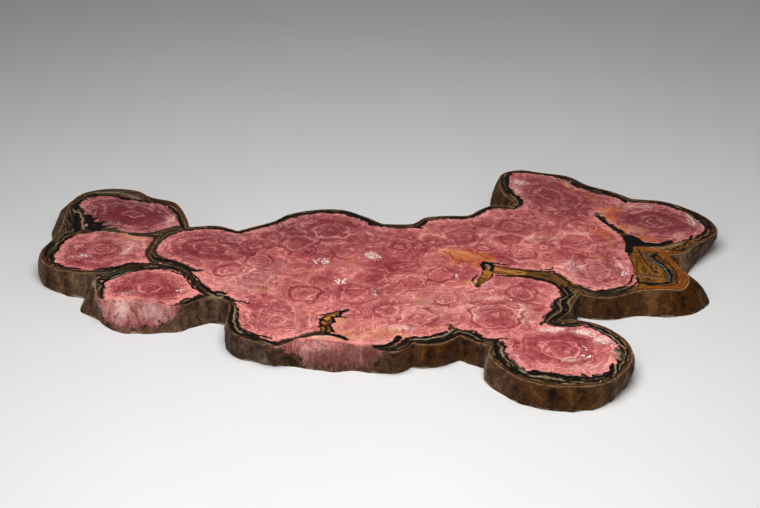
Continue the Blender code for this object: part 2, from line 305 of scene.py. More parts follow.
# Rows of tint, x, y, across, along, strength, turn.
STAINS = tuple(Stain(*row) for row in (
    # The big plum stains at the back lobes are partly deeper rose stone and partly painted shade
    # for the dimmer back of the slice.
    (PLUM_AND_SHADE, -92, 40, 26, 21, 1), (PLUM_AND_SHADE, 64, 57, 27, 21, 0.62, -25), (PLUM_AND_SHADE, 102, 33, 22, 17, 0.8),
    (PLUM_AND_SHADE, -27, 26, 33, 16, 0.62), (PALE, 74, -5, 14, 11, 0.28), (ROSE, -25, -20, 10, 8, 0.22),
    (PLUM_AND_SHADE, 50, 28, 9, 8, 0.15), (PLUM_AND_SHADE, 30, 22, 13, 9, 0.25), (PLUM_AND_SHADE, 8, 14, 12, 8, 0.15),
    (PLUM_AND_SHADE, -98, 12, 18, 12, 0.36), (PLUM_AND_SHADE, 46, 32, 18, 13, 0.26), (ROSE, 57, -55.5, 14, 12, 0.25),
    (PALE, -42, -4, 12, 9, 0.3), (ROSE, 38, -34, 7, 7, 0.35), (PLUM_AND_SHADE, -60, 13, 18, 14, 0.55),
    (UMBER, -81.5, -28, 4.2, 0.45, 0.9, -48), (UMBER, -88, -27.4, 2.4, 0.4, 0.6, 30),
    # The umber stain at (-16, -55.4) is painted shade on the broken front wall.
    (UMBER, -16, -55.4, 19, 4.2, 0.95), (PALE, -46, -13, 10, 8, 0.4), (PALE, 20, -28, 22, 12, 0.25),
    (PALE, -33, -36, 12, 10, 0.25), (WHITE, -86, -26.6, 3.6, 3.2, 1),
    # The white stain at (-86, -26.6) is painted glare on the broken front left face.
    (WHITE, -77, -27.5, 3, 1.6, 0.5), (UMBER, -86, -30.5, 9, 1, 0.5),
    (CREAM, 25, 9.4, 5, 3, 0.9, -15), (ORANGE, 30.4, 6.8, 9.8, 5.2, 1, -25),
    (ORANGE, 36.6, 4.4, 3.4, 5, 1), (CREAM, 29, 8.8, 3.4, 1.6, 0.6, -15),
    (CREAM, -14, -48.4, 13, 2, 0.7), (WHITE, -19, -47.2, 6, 1.2, 0.6, 8),
    (ORANGE, 27.6, 2.8, 3.4, 3.6, 0.85), (RED, 28.2, 2.8, 2, 2.8, 1),
    (CREAM, 33.6, 6.2, 2.4, 1.4, 0.5, -20), (RED, 32.2, 11, 1.2, 1.6, 0.7),
    (ORANGE, 33.2, 1.5, 2.4, 3, 0.7), (CREAM, 58.5, 24.5, 2.4, 1.4, 0.6),
    (RED, 60, 29.2, 0.9, 0.9, 0.9), (UMBER, 61.5, 14.6, 0.7, 0.9, 0.9),
    (PALE, 58, 19.5, 6.5, 2.8, 0.6), (UMBER, 57.6, 25.6, 1.2, 0.8, 0.7),
    (PALE, 48, 4, 3, 1.4, 0.8, -30), (CREAM, 31.5, -12.2, 2.6, 2, 1),
    (ORANGE, 27, -13.5, 4, 2, 0.4), (PALE, 47.3, -33, 3.6, 9, 0.75),
    (WHITE, 31.4, -34, 1.2, 3.4, 0.45, -12), (PALE, 37, -23, 5.5, 1.6, 0.7),
    (ROSE, 33, -26.4, 4.6, 1.8, 0.7), (LILAC, 36.5, -13, 3, 2, 0.7),
    (YELLOW, 13, -25.5, 3.2, 3.4, 0.7), (ROSE, 4, -26.6, 5, 2.2, 0.75),
    (ROSE, 0, -2, 5.5, 4.6, 0.45), (ROSE, 9, 3.4, 6, 2, 0.55, 8), (ROSE, 22, -28, 5.4, 1.6, 0.6),
    (ROSE, 21, -11.4, 4, 1.6, 0.5), (UMBER, 22.2, -18, 1, 0.8, 0.4),
    (WHITE, -2, -20, 1.2, 4, 0.3, 15), (WHITE, 7, -42, 7, 2, 0.6), (CREAM, 2, -45, 8, 3.4, 0.6),
    (ORANGE, 1.5, -46.5, 4, 2.4, 0.3), (CREAM, 16.5, -42.4, 3.6, 1.8, 0.35),
    (CREAM, 8, -47, 3.4, 1.4, 0.5, -20), (PALE, 2, -50.5, 3.6, 2.6, 0.7),
    (CREAM, -13, -37.5, 3, 3, 0.6), (ORANGE, -22, -33, 2, 1.6, 0.45), (ORANGE, -10, 5, 3, 2, 0.35),
    (YELLOW, -17, 0, 3.4, 2, 0.45), (YELLOW, -22, -5, 3.2, 2, 0.4), (YELLOW, -14, 34, 3, 2.4, 0.4),
    (LILAC, -26, 33, 5, 2.4, 0.5), (CREAM, -40, -18, 4, 2.2, 0.5),
    # The white stains at (-2.6, 7.6) and (54, 66) are painted glints, and the umber stain at (62,
    # 69.5) is painted shade.
    (WHITE, -2.6, 7.6, 2.6, 2.8, 0.7), (WHITE, 54, 66, 3.4, 3.4, 0.8), (PALE, 52, 60, 2.4, 6, 0.5),
    (UMBER, 62, 69.5, 7, 2.4, 0.45), (UMBER, 43, 43, 4, 2, 0.6), (UMBER, 5.5, 27.6, 7, 1.4, 0.5),
    (UMBER, 17.5, 30, 2, 2, 0.5), (CREAM, 72, 64, 2.2, 2.4, 0.8), (ORANGE, 73, 57.5, 2.4, 2, 0.4),
    (ORANGE, 79, 54, 4, 2.6, 0.35, -30), (ORANGE, 86, 42, 5.4, 3.6, 0.65),
    (ORANGE, 85, 36, 3, 3.4, 0.7), (ORANGE, 88, 27.5, 2.4, 3.6, 0.8, 20),
    (CREAM, 93, 27, 5.4, 3.4, 0.65, -20), (ORANGE, 96.5, 19.5, 5, 2.6, 0.6, -20),
    (ORANGE, 80.5, 25, 3.4, 6, 0.45), (RED, 78, 27, 3, 3.6, 0.3), (WHITE, 99, 45, 3.4, 1.8, 0.35),
    (PALE, 93, 44.5, 3, 2, 0.6), (WHITE, 114, 34, 1.4, 5, 0.8, 10),
    (PALE, 108, 22, 4, 2.2, 0.6, 30), (WHITE, 67, -1, 5, 4.4, 0.6), (WHITE, 66, 2, 3, 2, 0.4),
    (WHITE, 72, 24, 3, 1.6, 0.6), (PALE, 83, -1.5, 3.4, 5, 0.6), (CREAM, 76, 6, 4.6, 3, 0.35),
    # The white stains at (55, -43.4), (66, -45) and (71.5, -50) are painted highlights on the front
    # right lobe.
    (CREAM, 82.6, 16, 2.4, 5, 0.4), (WHITE, 55, -43.4, 5.6, 1.6, 0.8, 5),
    (WHITE, 66, -45, 4.6, 2, 0.85, -12), (WHITE, 71.5, -50, 3.4, 3.4, 0.8, -40),
    (WHITE, 60, -61.4, 5, 1.5, 0.7, 8), (ROSE, 51, -60, 3.4, 2.6, 0.6),
    (ROSE, 50.5, -52.4, 3, 2.4, 0.5), (ROSE, 61, -57.6, 1.8, 2.2, 0.7),
    (LILAC, 43, -60, 2.4, 4.6, 0.6), (PALE, 65, -66, 8, 2.8, 0.5), (CREAM, 57, -67.6, 7, 1.4, 0.2),
    (ROSE, -60, 12, 6, 3, 0.4, -15), (PALE, -88, 14, 4.4, 6, 0.6),
    # The white stain at (-104, 7) is a painted highlight.
    (CREAM, -89, 20.6, 6, 2, 0.75, -20), (WHITE, -90, 10, 3, 3, 0.5), (WHITE, -104, 7, 3.4, 2, 0.5),
    (PALE, -77, 33, 2.4, 5, 0.7), (ROSE, -93, 43.5, 2.4, 1.6, 0.6),
    (WHITE, -85, -19.4, 3, 1.6, 0.6), (RED, -93, -20.5, 0.9, 3.4, 0.35),
    (UMBER, -81, -23.8, 3.4, 1, 0.5), (CREAM, -11, -45, 5, 3.4, 0.45),
))

# Rows of half width, and then x, y along the vein.
VEINS = {
    Mineral.BROWN: veins(
        (0.4, -49, -24.6, -46, -25.4, -43.4, -27),
        (0.35, 97.6, 9.6, 97.9, 5.6, 99.6, 2.6, 101.6, -1.4, 102, -7, 101.2, -13.4, 95.6, -14.4,
        91, -14.2), (0.3, 91.4, 12, 92.2, 7, 92.4, 2, 94, -1.6, 95.2, -5), (0.8, 82, 36, 82.4, 33),
        (0.7, 33.4, -15, 33.6, -15.2), (0.4, 33.6, -7, 31.4, -11.4), (0.8, 6, 28.2, 9, 28.2),
        (0.7, -95, -4.6, -90, -2.2, -86, -0.6, -81, -0.2),
    ),
    Mineral.OLIVE: veins(
        (0.9, -100, 26.2, -96, 27.4), (0.8, -94, -9, -91.5, -5.6, -88, -3.4, -84, -2.4),
        (0.9, -115.6, 13, -115.6, 8), (0.6, 75, -55, 76.6, -58, 76.4, -62),
        (0.9, -34, 37.6, -31, 38.6), (0.7, 88.5, 54, 92, 50.6),
    ),
    Mineral.AMBER: veins(
        (1.3, 38.6, -2.6, 42, -3.6, 46, -5, 49, -5.8), (1.3, 37.2, -5, 36.4, -8),
        (0.7, -15.6, -34.8, -17.6, -36.6, -18.4, -39.4),
    ),
    Mineral.RUST: veins(
        (1.1, 95, 11.6, 99.5, 10.2, 101.2, 5.6, 102.6, 1.6, 104.2, -4, 104.2, -10, 101.6, -15.4),
        (0.9, 101.6, -15.4, 96, -15.6, 91, -15.4),
        (0.22, 22.6, 9.8, 24.6, 8, 25.8, 4.6, 29.6, 2.2, 33.8, 2.7),
        (0.22, 33.1, 10.2, 36.4, 6.4, 38.1, 3.9), (0.12, 26.4, 9, 30, 6.4, 33, 5.4, 35, 2.6),
    ),
    Mineral.CREAM: veins(
        (0.3, -57, -18.8, -54, -20.6, -52, -20.8), (0.45, 37.2, 0.2, 37.8, -2.4),
        (0.2, 88.6, -7.6, 92.6, -8.6, 96.7, -10.2), (0.4, -108, 57, -100, 57, -95, 55, -90, 51),
        (0.4, -114, 42, -111.4, 40, -109.2, 35.6, -108.8, 30, -107.6, 27),
        (0.4, -98, -11, -96.8, -16, -95.6, -20),
        (0.35, 11, -49.3, 15, -49.4, 19, -47.8, 22, -45.6, 23.4, -43),
        (0.35, 28, -45, 30.5, -47.5, 33, -50), (0.3, 38.9, -54, 38.3, -57, 38.7, -60.5),
        (0.28, 43.4, -67, 47.6, -71.2, 52.4, -71.9, 57.5, -73.6, 61.8, -74.2, 67.2, -73.2,
        71, -70.8), (0.45, 74.2, -55.6, 75.6, -57.4, 74.8, -59.6, 75.6, -61.6),
        (0.1, 60.4, -14, 62.3, -18, 63.2, -21.4, 60.8, -24, 59.8, -26.5, 60.2, -29.5, 59, -32,
        56.5, -35.5, 54, -38.8),
        (0.12, 64, -17, 65.6, -20.6, 63.6, -23.6, 62.8, -27, 63.4, -31, 61, -34.5),
        (0.3, 72.6, -57, 74, -58.6, 73.4, -60.8), (0.3, 72, -71, 73.3, -67.5, 73.6, -65),
        (0.35, 113, 40.6, 114.9, 37, 115.2, 34, 116.4, 31, 116, 27),
        (0.3, 112.2, 38.6, 113.6, 34.6, 113.9, 31),
        (0.25, -47.9, -30, -47.9, -38, -46.5, -43, -44.5, -45.5, -40.5, -48, -37, -49.6),
        (0.5, 31.8, -12.2, 32.6, -13.2),
        (0.35, 69, -41.8, 71.6, -44, 74.4, -47.6, 76.4, -51.8, 77, -54.5),
        (0.4, 95.5, 12.8, 99, 12, 103, 13.4, 108, 16.6), (0.4, -92, -9.5, -89, -6.2, -85, -4.6),
        (0.5, -57, -22, -53, -23), (0.4, -56, 30, -64, 29.6), (0.4, 73.4, 67, 72.4, 64),
    ),
    Mineral.SLATE: veins(
        (0.75, 94.6, 8.6, 94.2, 5.2, 95.5, 2.8, 98.2, -0.6, 99.5, -5.2, 99.3, -11.4),
        (0.5, 90.4, -12.2, 93, -12.8),
    ),
    Mineral.BLACK: veins(
        (0.6, -110, 54, -103, 54.5, -98, 53, -93, 51, -90, 49.5), (1.1, -97.5, 52, -94.5, 51.5),
        (0.55, -112, 51, -113.5, 46, -113, 43), (0.5, -112, 37, -111, 30, -110, 25),
        (1.3, -107.4, 37.4, -105.8, 33, -105.2, 28, -102.6, 27),
        (0.8, -103.6, 31, -101.4, 28.6, -101.6, 26.6), (0.8, -105, 35, -103.6, 35.4),
        (0.3, -103.6, 35.4, -101.8, 35.8), (0.9, -104.6, 31.4, -102, 31.8),
        (0.35, -102, 31.8, -99.8, 32.4), (0.9, -103, 28.6, -100.4, 29),
        (0.45, -100.4, 29, -98.2, 29.6), (0.2, -98.2, 29.6, -96.4, 30),
        (0.9, -112.4, 39, -111.2, 34, -110.8, 29, -109, 26),
        (0.45, -85, 50, -80, 47, -76, 42, -73.5, 35, -72, 28),
        (0.5, -113, 19, -114.5, 12, -116, 7, -114, 2, -110, -1.4, -104, -2.8),
        (0.45, -117.3, 16, -118, 12, -117.5, 6),
        (0.6, -98, -3.5, -96, -2.5, -92, -3, -90, -0.5, -88, 1, -84, 1),
        (0.5, -94.5, -14, -93.5, -10, -91, -7, -88, -5, -85, -4, -82, -3, -76, -2.6),
        (0.4, -96.5, -12.6, -95.5, -9, -93, -5.7, -89.5, -3.6, -86, -2.6, -82, -1.6),
        (0.4, -94, -15.5, -94.4, -19, -93.4, -22.4),
        (0.9, -79, 5, -77, 3.6, -75, 3.6, -72, 2, -69.4, 0),
        (0.45, -69.4, 0, -67, -2.2, -65, -4, -62, -4.2), (0.8, -65.5, -26.4, -62, -23.4, -60, -22),
        (0.8, -58.4, -16.4, -56.2, -19.8, -54, -19, -52, -20.2),
        (0.5, -52, -22, -50, -24, -48, -24.6),
        (0.35, -73, -1, -70, -3, -66.5, -4, -64, -7, -62.3, -10, -61, -13, -59.5, -15),
        (0.35, -72, -4.4, -68, -6.8, -66, -9.4, -65, -13, -63, -16.5, -60.5, -19),
        (0.55, -49, -29, -49, -38, -47.5, -43, -46, -45.5, -43, -46.5, -39, -49, -36, -50.5,
        -33, -52.4), (0.35, -47, -30, -46.8, -38, -45.3, -42.5, -43, -44.5, -39, -46.8, -35, -48.5),
        (0.5, -10.6, -31, -12.8, -32.6, -13.4, -34.8, -15.9, -35.6, -14.7, -38.6, -16.6, -40.4,
        -15.2, -44.6), (0.4, -13.4, -34.8, -11.6, -35.6), (0.45, -18.9, -36.8, -17.4, -38.2),
        (0.25, -21, -35, -18, -33.4, -14.6, -32, -11, -30.8),
        (0.35, -19.8, -37, -19.2, -39.4, -20, -42),
        (0.35, -19.6, -39.4, -17.8, -41.4, -17.4, -44.4),
        (0.7, -17.4, -45.6, -13.4, -47.2, -10.4, -49.4),
        (1, -1.6, -53.6, 2, -53.3, 4.5, -51, 6, -48),
        (0.45, 0, -55.4, 4.5, -55, 7.5, -52, 8.6, -49.5),
        (0.4, 2, -56.6, 6.5, -55.8, 9, -53.3, 10, -50.5),
        (0.6, 10.3, -48, 13, -48.4, 16, -47.6, 19, -46.2, 21.5, -44.8),
        (0.4, 11, -50.2, 15, -50.2, 19, -48.8, 22.5, -46.5, 24.5, -44),
        (0.55, 12, -51.6, 16, -51.4, 20, -50.3, 24, -47.5, 26, -45.7),
        (0.35, 27.3, -43.8, 29.5, -46, 32, -48.7, 34, -51),
        (0.35, 29.5, -43.6, 31.5, -46, 33, -47.2), (0.4, 26.3, -45.6, 28.8, -48.2, 32, -50.6),
        (0.35, 36.5, -50.2, 38.4, -48.8, 41, -49.2),
        (0.55, 37, -50.5, 36.8, -55, 36.9, -59, 38, -62.6, 40, -66, 42.5, -69.6),
        (0.6, 41.6, -66.3, 43.6, -69, 45.5, -71),
        (1, 46.2, -69, 51, -69.6, 54.3, -70.6, 57.7, -71.8, 60.5, -72),
        (0.5, 60.5, -72.2, 65.6, -72, 69.3, -70.8, 71.3, -68.3, 72.6, -65),
        (0.5, 46, -71.4, 50, -73, 55, -74, 60, -73.6, 65, -73.8, 68.5, -72.8),
        (0.55, 72.8, -64, 72.3, -67, 71.3, -70, 69.5, -72),
        (0.35, 74.3, -64.5, 73.8, -68, 72.3, -71.5),
        (0.4, 56, -39.3, 58, -40, 62, -41.2, 66, -40.7, 69, -42.4, 72, -45.4, 74, -48.6, 75.6, -52),
        (0.4, 68, -40.5, 71.5, -43, 74.9, -46.8, 77.1, -51, 77.7, -54.5),
        (0.5, 59.3, -13, 61, -16, 62, -19.5, 62.6, -21.3, 60, -23, 58.5, -25, 59, -29, 58, -31,
        56, -33, 54.6, -35.6),
        (0.35, 61.5, -14, 63, -18, 63.9, -21.5, 61.9, -23.8, 60.8, -26, 61.2, -30, 59.8, -33,
        57.3, -36, 55.5, -38.6),
        (0.35, 63, -15, 64.9, -20.8, 62.4, -24, 61.8, -27, 62.3, -30.6, 60.2, -34, 57.6, -37.2),
        (0.35, 60, -4.5, 62, -8, 64, -12, 65, -15.3), (0.75, 36.3, 2, 35.7, -0.4, 36, -3),
        (0.75, 36.6, 1.8, 38.6, 0.6, 39, -2, 38.4, -4.2),
        (0.4, 38.6, 1.5, 40.4, 1.6, 42.2, 0.6, 43.8, 0),
        (0.35, 45, -2.2, 48, -3.3, 51.5, -4.2, 56, -4.9, 60, -4.6),
        (0.4, 55.5, -3.2, 57.5, -3.3, 59.5, -3, 60.2, -2), (0.45, 40, -7.2, 44, -8, 48, -8),
        (0.8, 48, -8, 50.5, -8.3, 53, -9.5, 56, -10.6, 57.5, -11.5, 59.6, -13),
        (0.35, 75, -18.3, 78, -18, 81, -16.5, 84, -14, 86, -11, 87.2, -7),
        (0.4, 66, -15.6, 68.5, -17, 71, -18.2, 73, -19.6, 77, -19.7, 80, -19, 83, -17.7, 86, -15.2,
        88, -12, 88.5, -9), (0.65, 89, -12.6, 92, -13.4, 96, -12.8, 99, -12.4),
        (0.45, 97, 7, 96.3, 5, 97.2, 3, 98.4, 0.5, 99.9, -3, 100.4, -8, 99.9, -12),
        (0.7, 95.5, -5, 95.6, -5.1), (0.8, 97, 7.6, 96, 6.2),
        (2.2, 89.5, 20.5, 91.3, 18, 92.4, 16.6), (1.6, 89, 18, 89.4, 15, 92, 15.2, 96, 15.1),
        (1.4, 88, 9.6, 88.5, 14), (1.2, 97, 15, 100, 14.6, 101, 15.6, 103.6, 17),
        (0.6, 80.6, 37, 81.2, 35, 82, 33, 84, 29.4, 86, 26.6, 88, 23.5),
        (0.4, 104, 11.7, 108, 14, 110.5, 18, 112.5, 22), (0.35, 101, 11, 105, 10.2, 108.4, 12.2),
        (0.5, 113, 42, 116, 38.5, 117.5, 34, 118.5, 29, 118, 25, 115.6, 22),
        (0.4, 119, 36, 120.3, 30, 119.8, 26), (0.5, 104, 47.6, 109, 45, 113, 42),
        (0.9, 92.2, 49, 91, 51.5, 90, 53),
        (0.8, 90, 53, 87, 55.5, 84, 58, 81, 60.2, 78, 61.4, 75, 62.8, 74, 64.6),
        (0.8, 71.6, 69.5, 70.4, 69.2), (0.4, 50, 74.3, 55, 74.8, 60, 73.8, 66, 72.4, 70.6, 70.8),
        (0.55, 49.3, 71.6, 49, 65, 48.9, 58, 50, 55.5, 52.3, 54, 53, 51, 53, 46.6),
        (0.4, 47.4, 71.6, 47, 65, 47.6, 59, 48.4, 56),
        (0.55, 41, 44.5, 38, 41.5, 36, 38.7, 33.5, 36.2), (0.8, 26.6, 36, 31.6, 35.8),
        (0.6, 14, 29, 16, 31, 17, 33.5), (0.7, 12, 28.6, 15, 28.2),
        (0.6, 3, 29.6, -1, 29.8, -3.8, 30.4, -3.6, 33, -6, 35.2),
        (0.7, -6, 35.2, -10, 38.6, -14, 40.2, -22, 40.6, -28, 39.4),
        (0.7, -29.6, 38.6, -34, 36.6, -37, 34),
        (0.5, -37, 32.5, -42, 29.5, -47, 26.5, -52, 24.4, -56, 26.4, -60, 27.8, -66, 27.2, -70, 26),
    ),
    # The white lines are partly white specks in the stone and partly painted glints and highlights,
    # such as the clusters at (-21, 2), (-14, -12) and on the front right lobe.
    Mineral.WHITE: veins(
        (0.6, 26.5, -6.9, 26.6, -8.2), (1.5, -4.2, 7.6, -2.4, 6.2, -0.6, 5.2),
        (0.5, -3.2, 9.9, -3.1, 10.2), (1.3, 83.4, -6.6, 84.6, -6), (0.6, 81.8, 10.4, 82.2, 10.4),
        (0.3, 43.4, -23.6, 44, -24.6), (0.35, -1, -31.6, -1, -33.4), (0.3, 4.4, -36, 4.6, -37),
        (0.9, 53.4, -44, 58.8, -43), (1, 64.2, -44.7, 68.2, -46.2, 70, -49.4),
        (0.7, 71, -51.8, 73, -51), (0.5, 74.2, -53, 74.8, -53.2), (0.6, 64.6, -53.9, 65.2, -55.2),
        (0.8, 63.8, -58.6, 66.4, -60), (0.7, 52.2, 65.4, 52.5, 65.9),
        (0.5, -108.2, 6, -106, 6.6, -102, 6.8), (2.6, -21.8, 1.2, -20.2, 2.8),
        (1.7, -14, -12, -12.4, -11.4), (0.35, -13.6, -12.5, -13.4, -12.6),
        (0.4, -37.2, -17, -36.8, -17), (0.8, -68.6, -17.8, -66.8, -18.4),
        (0.45, -84.4, -19, -83.6, -19.1), (0.4, -87.2, -20, -86.8, -20),
        (0.35, -18.4, -27, -17.6, -29), (0.2, -2, -18, -0.6, -22),
    ),
}


# ---------------------------------------------------------------- shapes


def closed(loop: Array) -> Array:
    """Return a loop's corners with the first one again at its end."""
    return np.vstack([loop, loop[:1]])


def distance_to_course(points: Array, course: Array) -> tuple[Array, Array, Array]:
    """Measure how far points are from a run of straight lines.

    Args:
        points: Places as rows of x, y.
        course: Corners of the run as rows of x, y.

    Returns:
        Each point's least distance, the line it is nearest to, and how far along that
        line the nearest place is, 0 to 1.
    """
    best = np.full(len(points), np.inf)
    line = np.zeros(len(points), int)
    share = np.zeros(len(points))
    for i, (start, end) in enumerate(zip(course[:-1], course[1:])):
        step = end - start
        t = np.clip((points - start) @ step / max(float(step @ step), 1e-9), 0.0, 1.0)
        gap = np.hypot(*(points - start - t[:, None] * step).T)
        nearer = gap < best
        best[nearer], line[nearer], share[nearer] = gap[nearer], i, t[nearer]
    return best, line, share


def near(points: Array, course: Array, margin: float) -> Array:
    """Return the numbers of the points in a course's box, widened by a margin."""
    low, high = course.min(axis=0) - margin, course.max(axis=0) + margin
    return np.flatnonzero(((points > low) & (points < high)).all(axis=1))


def inside(points: Array, loop: Array) -> Array:
    """Tell which points lie inside a closed loop.

    Args:
        points: Places as rows of x, y.
        loop: Corners of the loop as rows of x, y.

    Returns:
        One truth value for each point.
    """
    found = np.zeros(len(points), bool)
    for (x1, y1), (x2, y2) in zip(loop, np.roll(loop, -1, axis=0)):
        crosses = (y1 > points[:, 1]) != (y2 > points[:, 1])
        if crosses.any():
            reach = (x2 - x1) * (points[:, 1] - y1) / (y2 - y1 if y2 != y1 else 1e-9) + x1
            found ^= crosses & (points[:, 0] < reach)
    return found


def grain(points: Array, *layers: Triple, spread: float = 7.31) -> Array:
    """Return smooth noise at points.

    Args:
        points: Places as rows of x, y or x, y, z.
        layers: Rows of strength, size of the lumps, and seed.
        spread: How far apart two seeds lie.

    Returns:
        The sum of the layers at each point.
    """
    spots = np.column_stack([points, np.zeros(len(points))])[:, :3]
    return sum(amount * np.array([noise.noise(Vector(p)) for p in spots / size + seed * spread])
               for amount, size, seed in layers)


def drift(points: Array, *layers: Triple) -> Array:
    """Return points moved by noise, with rows of strength, size and seed as for grain."""
    return points + np.column_stack([grain(points, *((amount, size, seed + axis)
                                                     for amount, size, seed in layers))
                                     for axis in (0, 1)])


def wander(points: Array) -> Array:
    """Return points moved sideways as the veins wander."""
    return drift(points, (0.5, 1.7, 41.0), (0.35, 3.6, 41.5))


def turned(points: Array, x: float, y: float, turn: float) -> Pair:
    """Return how far points lie from x, y along two axes turned by some degrees."""
    cos, sin = math.cos(math.radians(turn)), math.sin(math.radians(turn))
    dx, dy = points[:, 0] - x, points[:, 1] - y
    return dx * cos + dy * sin, dy * cos - dx * sin


def smoothstep(low: float, high: float, value: Array) -> Array:
    """Return 0 below low, 1 above high and a smooth rise between."""
    t = np.clip((value - low) / (high - low), 0.0, 1.0)
    return t * t * (3.0 - 2.0 * t)


@dataclass
class SliceOutline:
    """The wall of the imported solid, as rings of matching points at each height.

    Args:
        refine: How many points the curve gets for each one of the solid.
        girth: The height at which the wall's outward direction is taken.
        smoothing: How often that direction is evened out.
        heights: The heights of the dressed wall's rings, top to bottom.
    """

    refine: int = 3
    girth: float = 4.2
    smoothing: int = 6
    heights: tuple[float, ...] = (8.8, 8.3, 7.6, 6.8, 6.0, 5.1, 4.2, 3.2, 2.3, 1.4, 0.6, 0.2)
    rings: Array = field(default_factory=lambda: np.zeros((0, 0, 3)))

    def read(self, solid: bpy.types.Object) -> None:
        """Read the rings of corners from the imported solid.

        Args:
            solid: The CAD node.
        """
        mesh = solid.data
        corners = np.zeros(len(mesh.vertices) * 3, np.float32)
        mesh.vertices.foreach_get("co", corners)
        places, welded = np.unique(np.round(corners.reshape(-1, 3) / MM, 3), axis=0,
                                   return_inverse=True)
        welded = welded.ravel()
        levels = np.round(places[:, 2], 2)
        neighbours: dict[int, set[int]] = {}
        for face in mesh.polygons:
            trio = [int(welded[v]) for v in face.vertices]
            if len({levels[v] for v in trio}) < 2:
                continue
            for a, b in zip(trio, trio[1:] + trio[:1]):
                if levels[a] == levels[b] and a != b:
                    neighbours.setdefault(a, set()).add(b)
                    neighbours.setdefault(b, set()).add(a)
        rings = [self.walk(places, neighbours, int(np.flatnonzero(levels == level)[0]))
                 for level in sorted(set(levels), reverse=True)]
        count = max(len(ring) for ring in rings)
        matched = [rings[0]]
        for ring in rings[1:]:
            matched.append(self.match(matched[-1], ring, count))
        self.rings = np.array([self.curve(ring) for ring in matched])

    @staticmethod
    def walk(places: Array, neighbours: dict[int, set[int]], start: int) -> Array:
        """Put one level's corners in order round the wall, anticlockwise.

        Args:
            places: All corners.
            neighbours: The corners joined to each corner at its own level.
            start: The corner to begin with.

        Returns:
            The ordered corners.
        """
        order, last = [start], -1
        while True:
            ways = [v for v in neighbours[order[-1]] if v != last]
            last = order[-1]
            if not ways or ways[0] == start:
                break
            order.append(ways[0])
        ring = places[order]
        x, y = ring[:, 0], ring[:, 1]
        return ring if float(x @ np.roll(y, -1) - y @ np.roll(x, -1)) > 0 else ring[::-1]

    @staticmethod
    def split(ring: Array, k: int) -> Array:
        """Return a ring with one more corner, halfway after its corner k."""
        return np.insert(ring, k + 1, (ring[k] + ring[(k + 1) % len(ring)]) / 2, axis=0)

    def match(self, upper: Array, lower: Array, count: int) -> Array:
        """Turn a lower ring so that its corners stand under those of the upper one.

        Args:
            upper: The ring above, already in order.
            lower: The ring below, which may be one corner short.
            count: How many corners each ring has to have.

        Returns:
            The lower ring with its corners in the upper ring's order.
        """
        if len(lower) < count:
            gaps = np.hypot(*(np.roll(lower, -1, axis=0) - lower)[:, :2].T)
            trials = []
            for k in range(len(lower)):
                trial = self.split(lower, k)
                shift = int(np.argmin(np.hypot(*(trial - upper[0])[:, :2].T)))
                misfit = np.abs(np.roll(trial, -shift, axis=0) - upper)[:, :2].sum()
                trials.append((float(misfit) - gaps[k] * 0.01, k))
            lower = self.split(lower, min(trials)[1])
        costs = [np.abs(np.roll(lower, -shift, axis=0) - upper)[:, :2].sum()
                 for shift in range(count)]
        return np.roll(lower, -int(np.argmin(costs)), axis=0)

    def curve(self, ring: Array) -> Array:
        """Run a smooth closed curve through a ring's corners.

        Args:
            ring: The corners in order.

        Returns:
            The curve's points, which hold the corners too.
        """
        before, here, after, beyond = (np.roll(ring, shift, axis=0) for shift in (1, 0, -1, -2))
        steps = []
        for t in (k / self.refine for k in range(self.refine)):
            steps.append(0.5 * (2 * here + (after - before) * t
                                + (2 * before - 5 * here + 4 * after - beyond) * t * t
                                + (3 * here - before - 3 * after + beyond) * t ** 3))
        return np.stack(steps, axis=1).reshape(-1, 3)

    def at(self, height: float) -> Array:
        """Return the wall's ring at a height below the top, between those of the solid."""
        levels = self.rings[:, 0, 2]
        lower = int(np.searchsorted(-levels, -height, side="left"))
        share = (levels[lower - 1] - height) / (levels[lower - 1] - levels[lower])
        return self.rings[lower - 1] * (1 - share) + self.rings[lower] * share

    def outward(self) -> Array:
        """Find which way the wall stands out.

        Returns:
            A level direction for each point of a ring, as rows of x, y.
        """
        middle = self.at(self.girth)[:, :2]
        ahead = np.roll(middle, -2, axis=0) - np.roll(middle, 2, axis=0)
        normal = np.column_stack([ahead[:, 1], -ahead[:, 0]])
        normal /= np.hypot(*normal.T)[:, None]
        for _ in range(self.smoothing):
            normal = np.roll(normal, 1, axis=0) + 2 * normal + np.roll(normal, -1, axis=0)
            normal /= np.hypot(*normal.T)[:, None]
        return normal


def rim_belt(edge: Array) -> Array:
    """Spread the rim stations' measures over every point of the sawn edge.

    Args:
        edge: The edge's points as rows of x, y.

    Returns:
        A row of width, black, ochre, warmth and pink for each point.
    """
    stations = sorted(((int(np.argmin(np.hypot(edge[:, 0] - s.x, edge[:, 1] - s.y))), s)
                       for s in RIM), key=lambda station: station[0])
    steps = np.hypot(*np.diff(closed(edge), axis=0).T)
    length = np.concatenate([[0.0], np.cumsum(steps)])
    marks = np.array([length[i] for i, _ in stations])
    wrapped = np.concatenate([[marks[-1] - length[-1]], marks, [marks[0] + length[-1]]])
    belt = np.array([(s.width, s.black, s.ochre, s.warmth, s.pink) for _, s in stations])
    padded = np.vstack([belt[-1:], belt, belt[:1]])
    return np.column_stack([np.interp(length[:-1], wrapped, column) for column in padded.T])


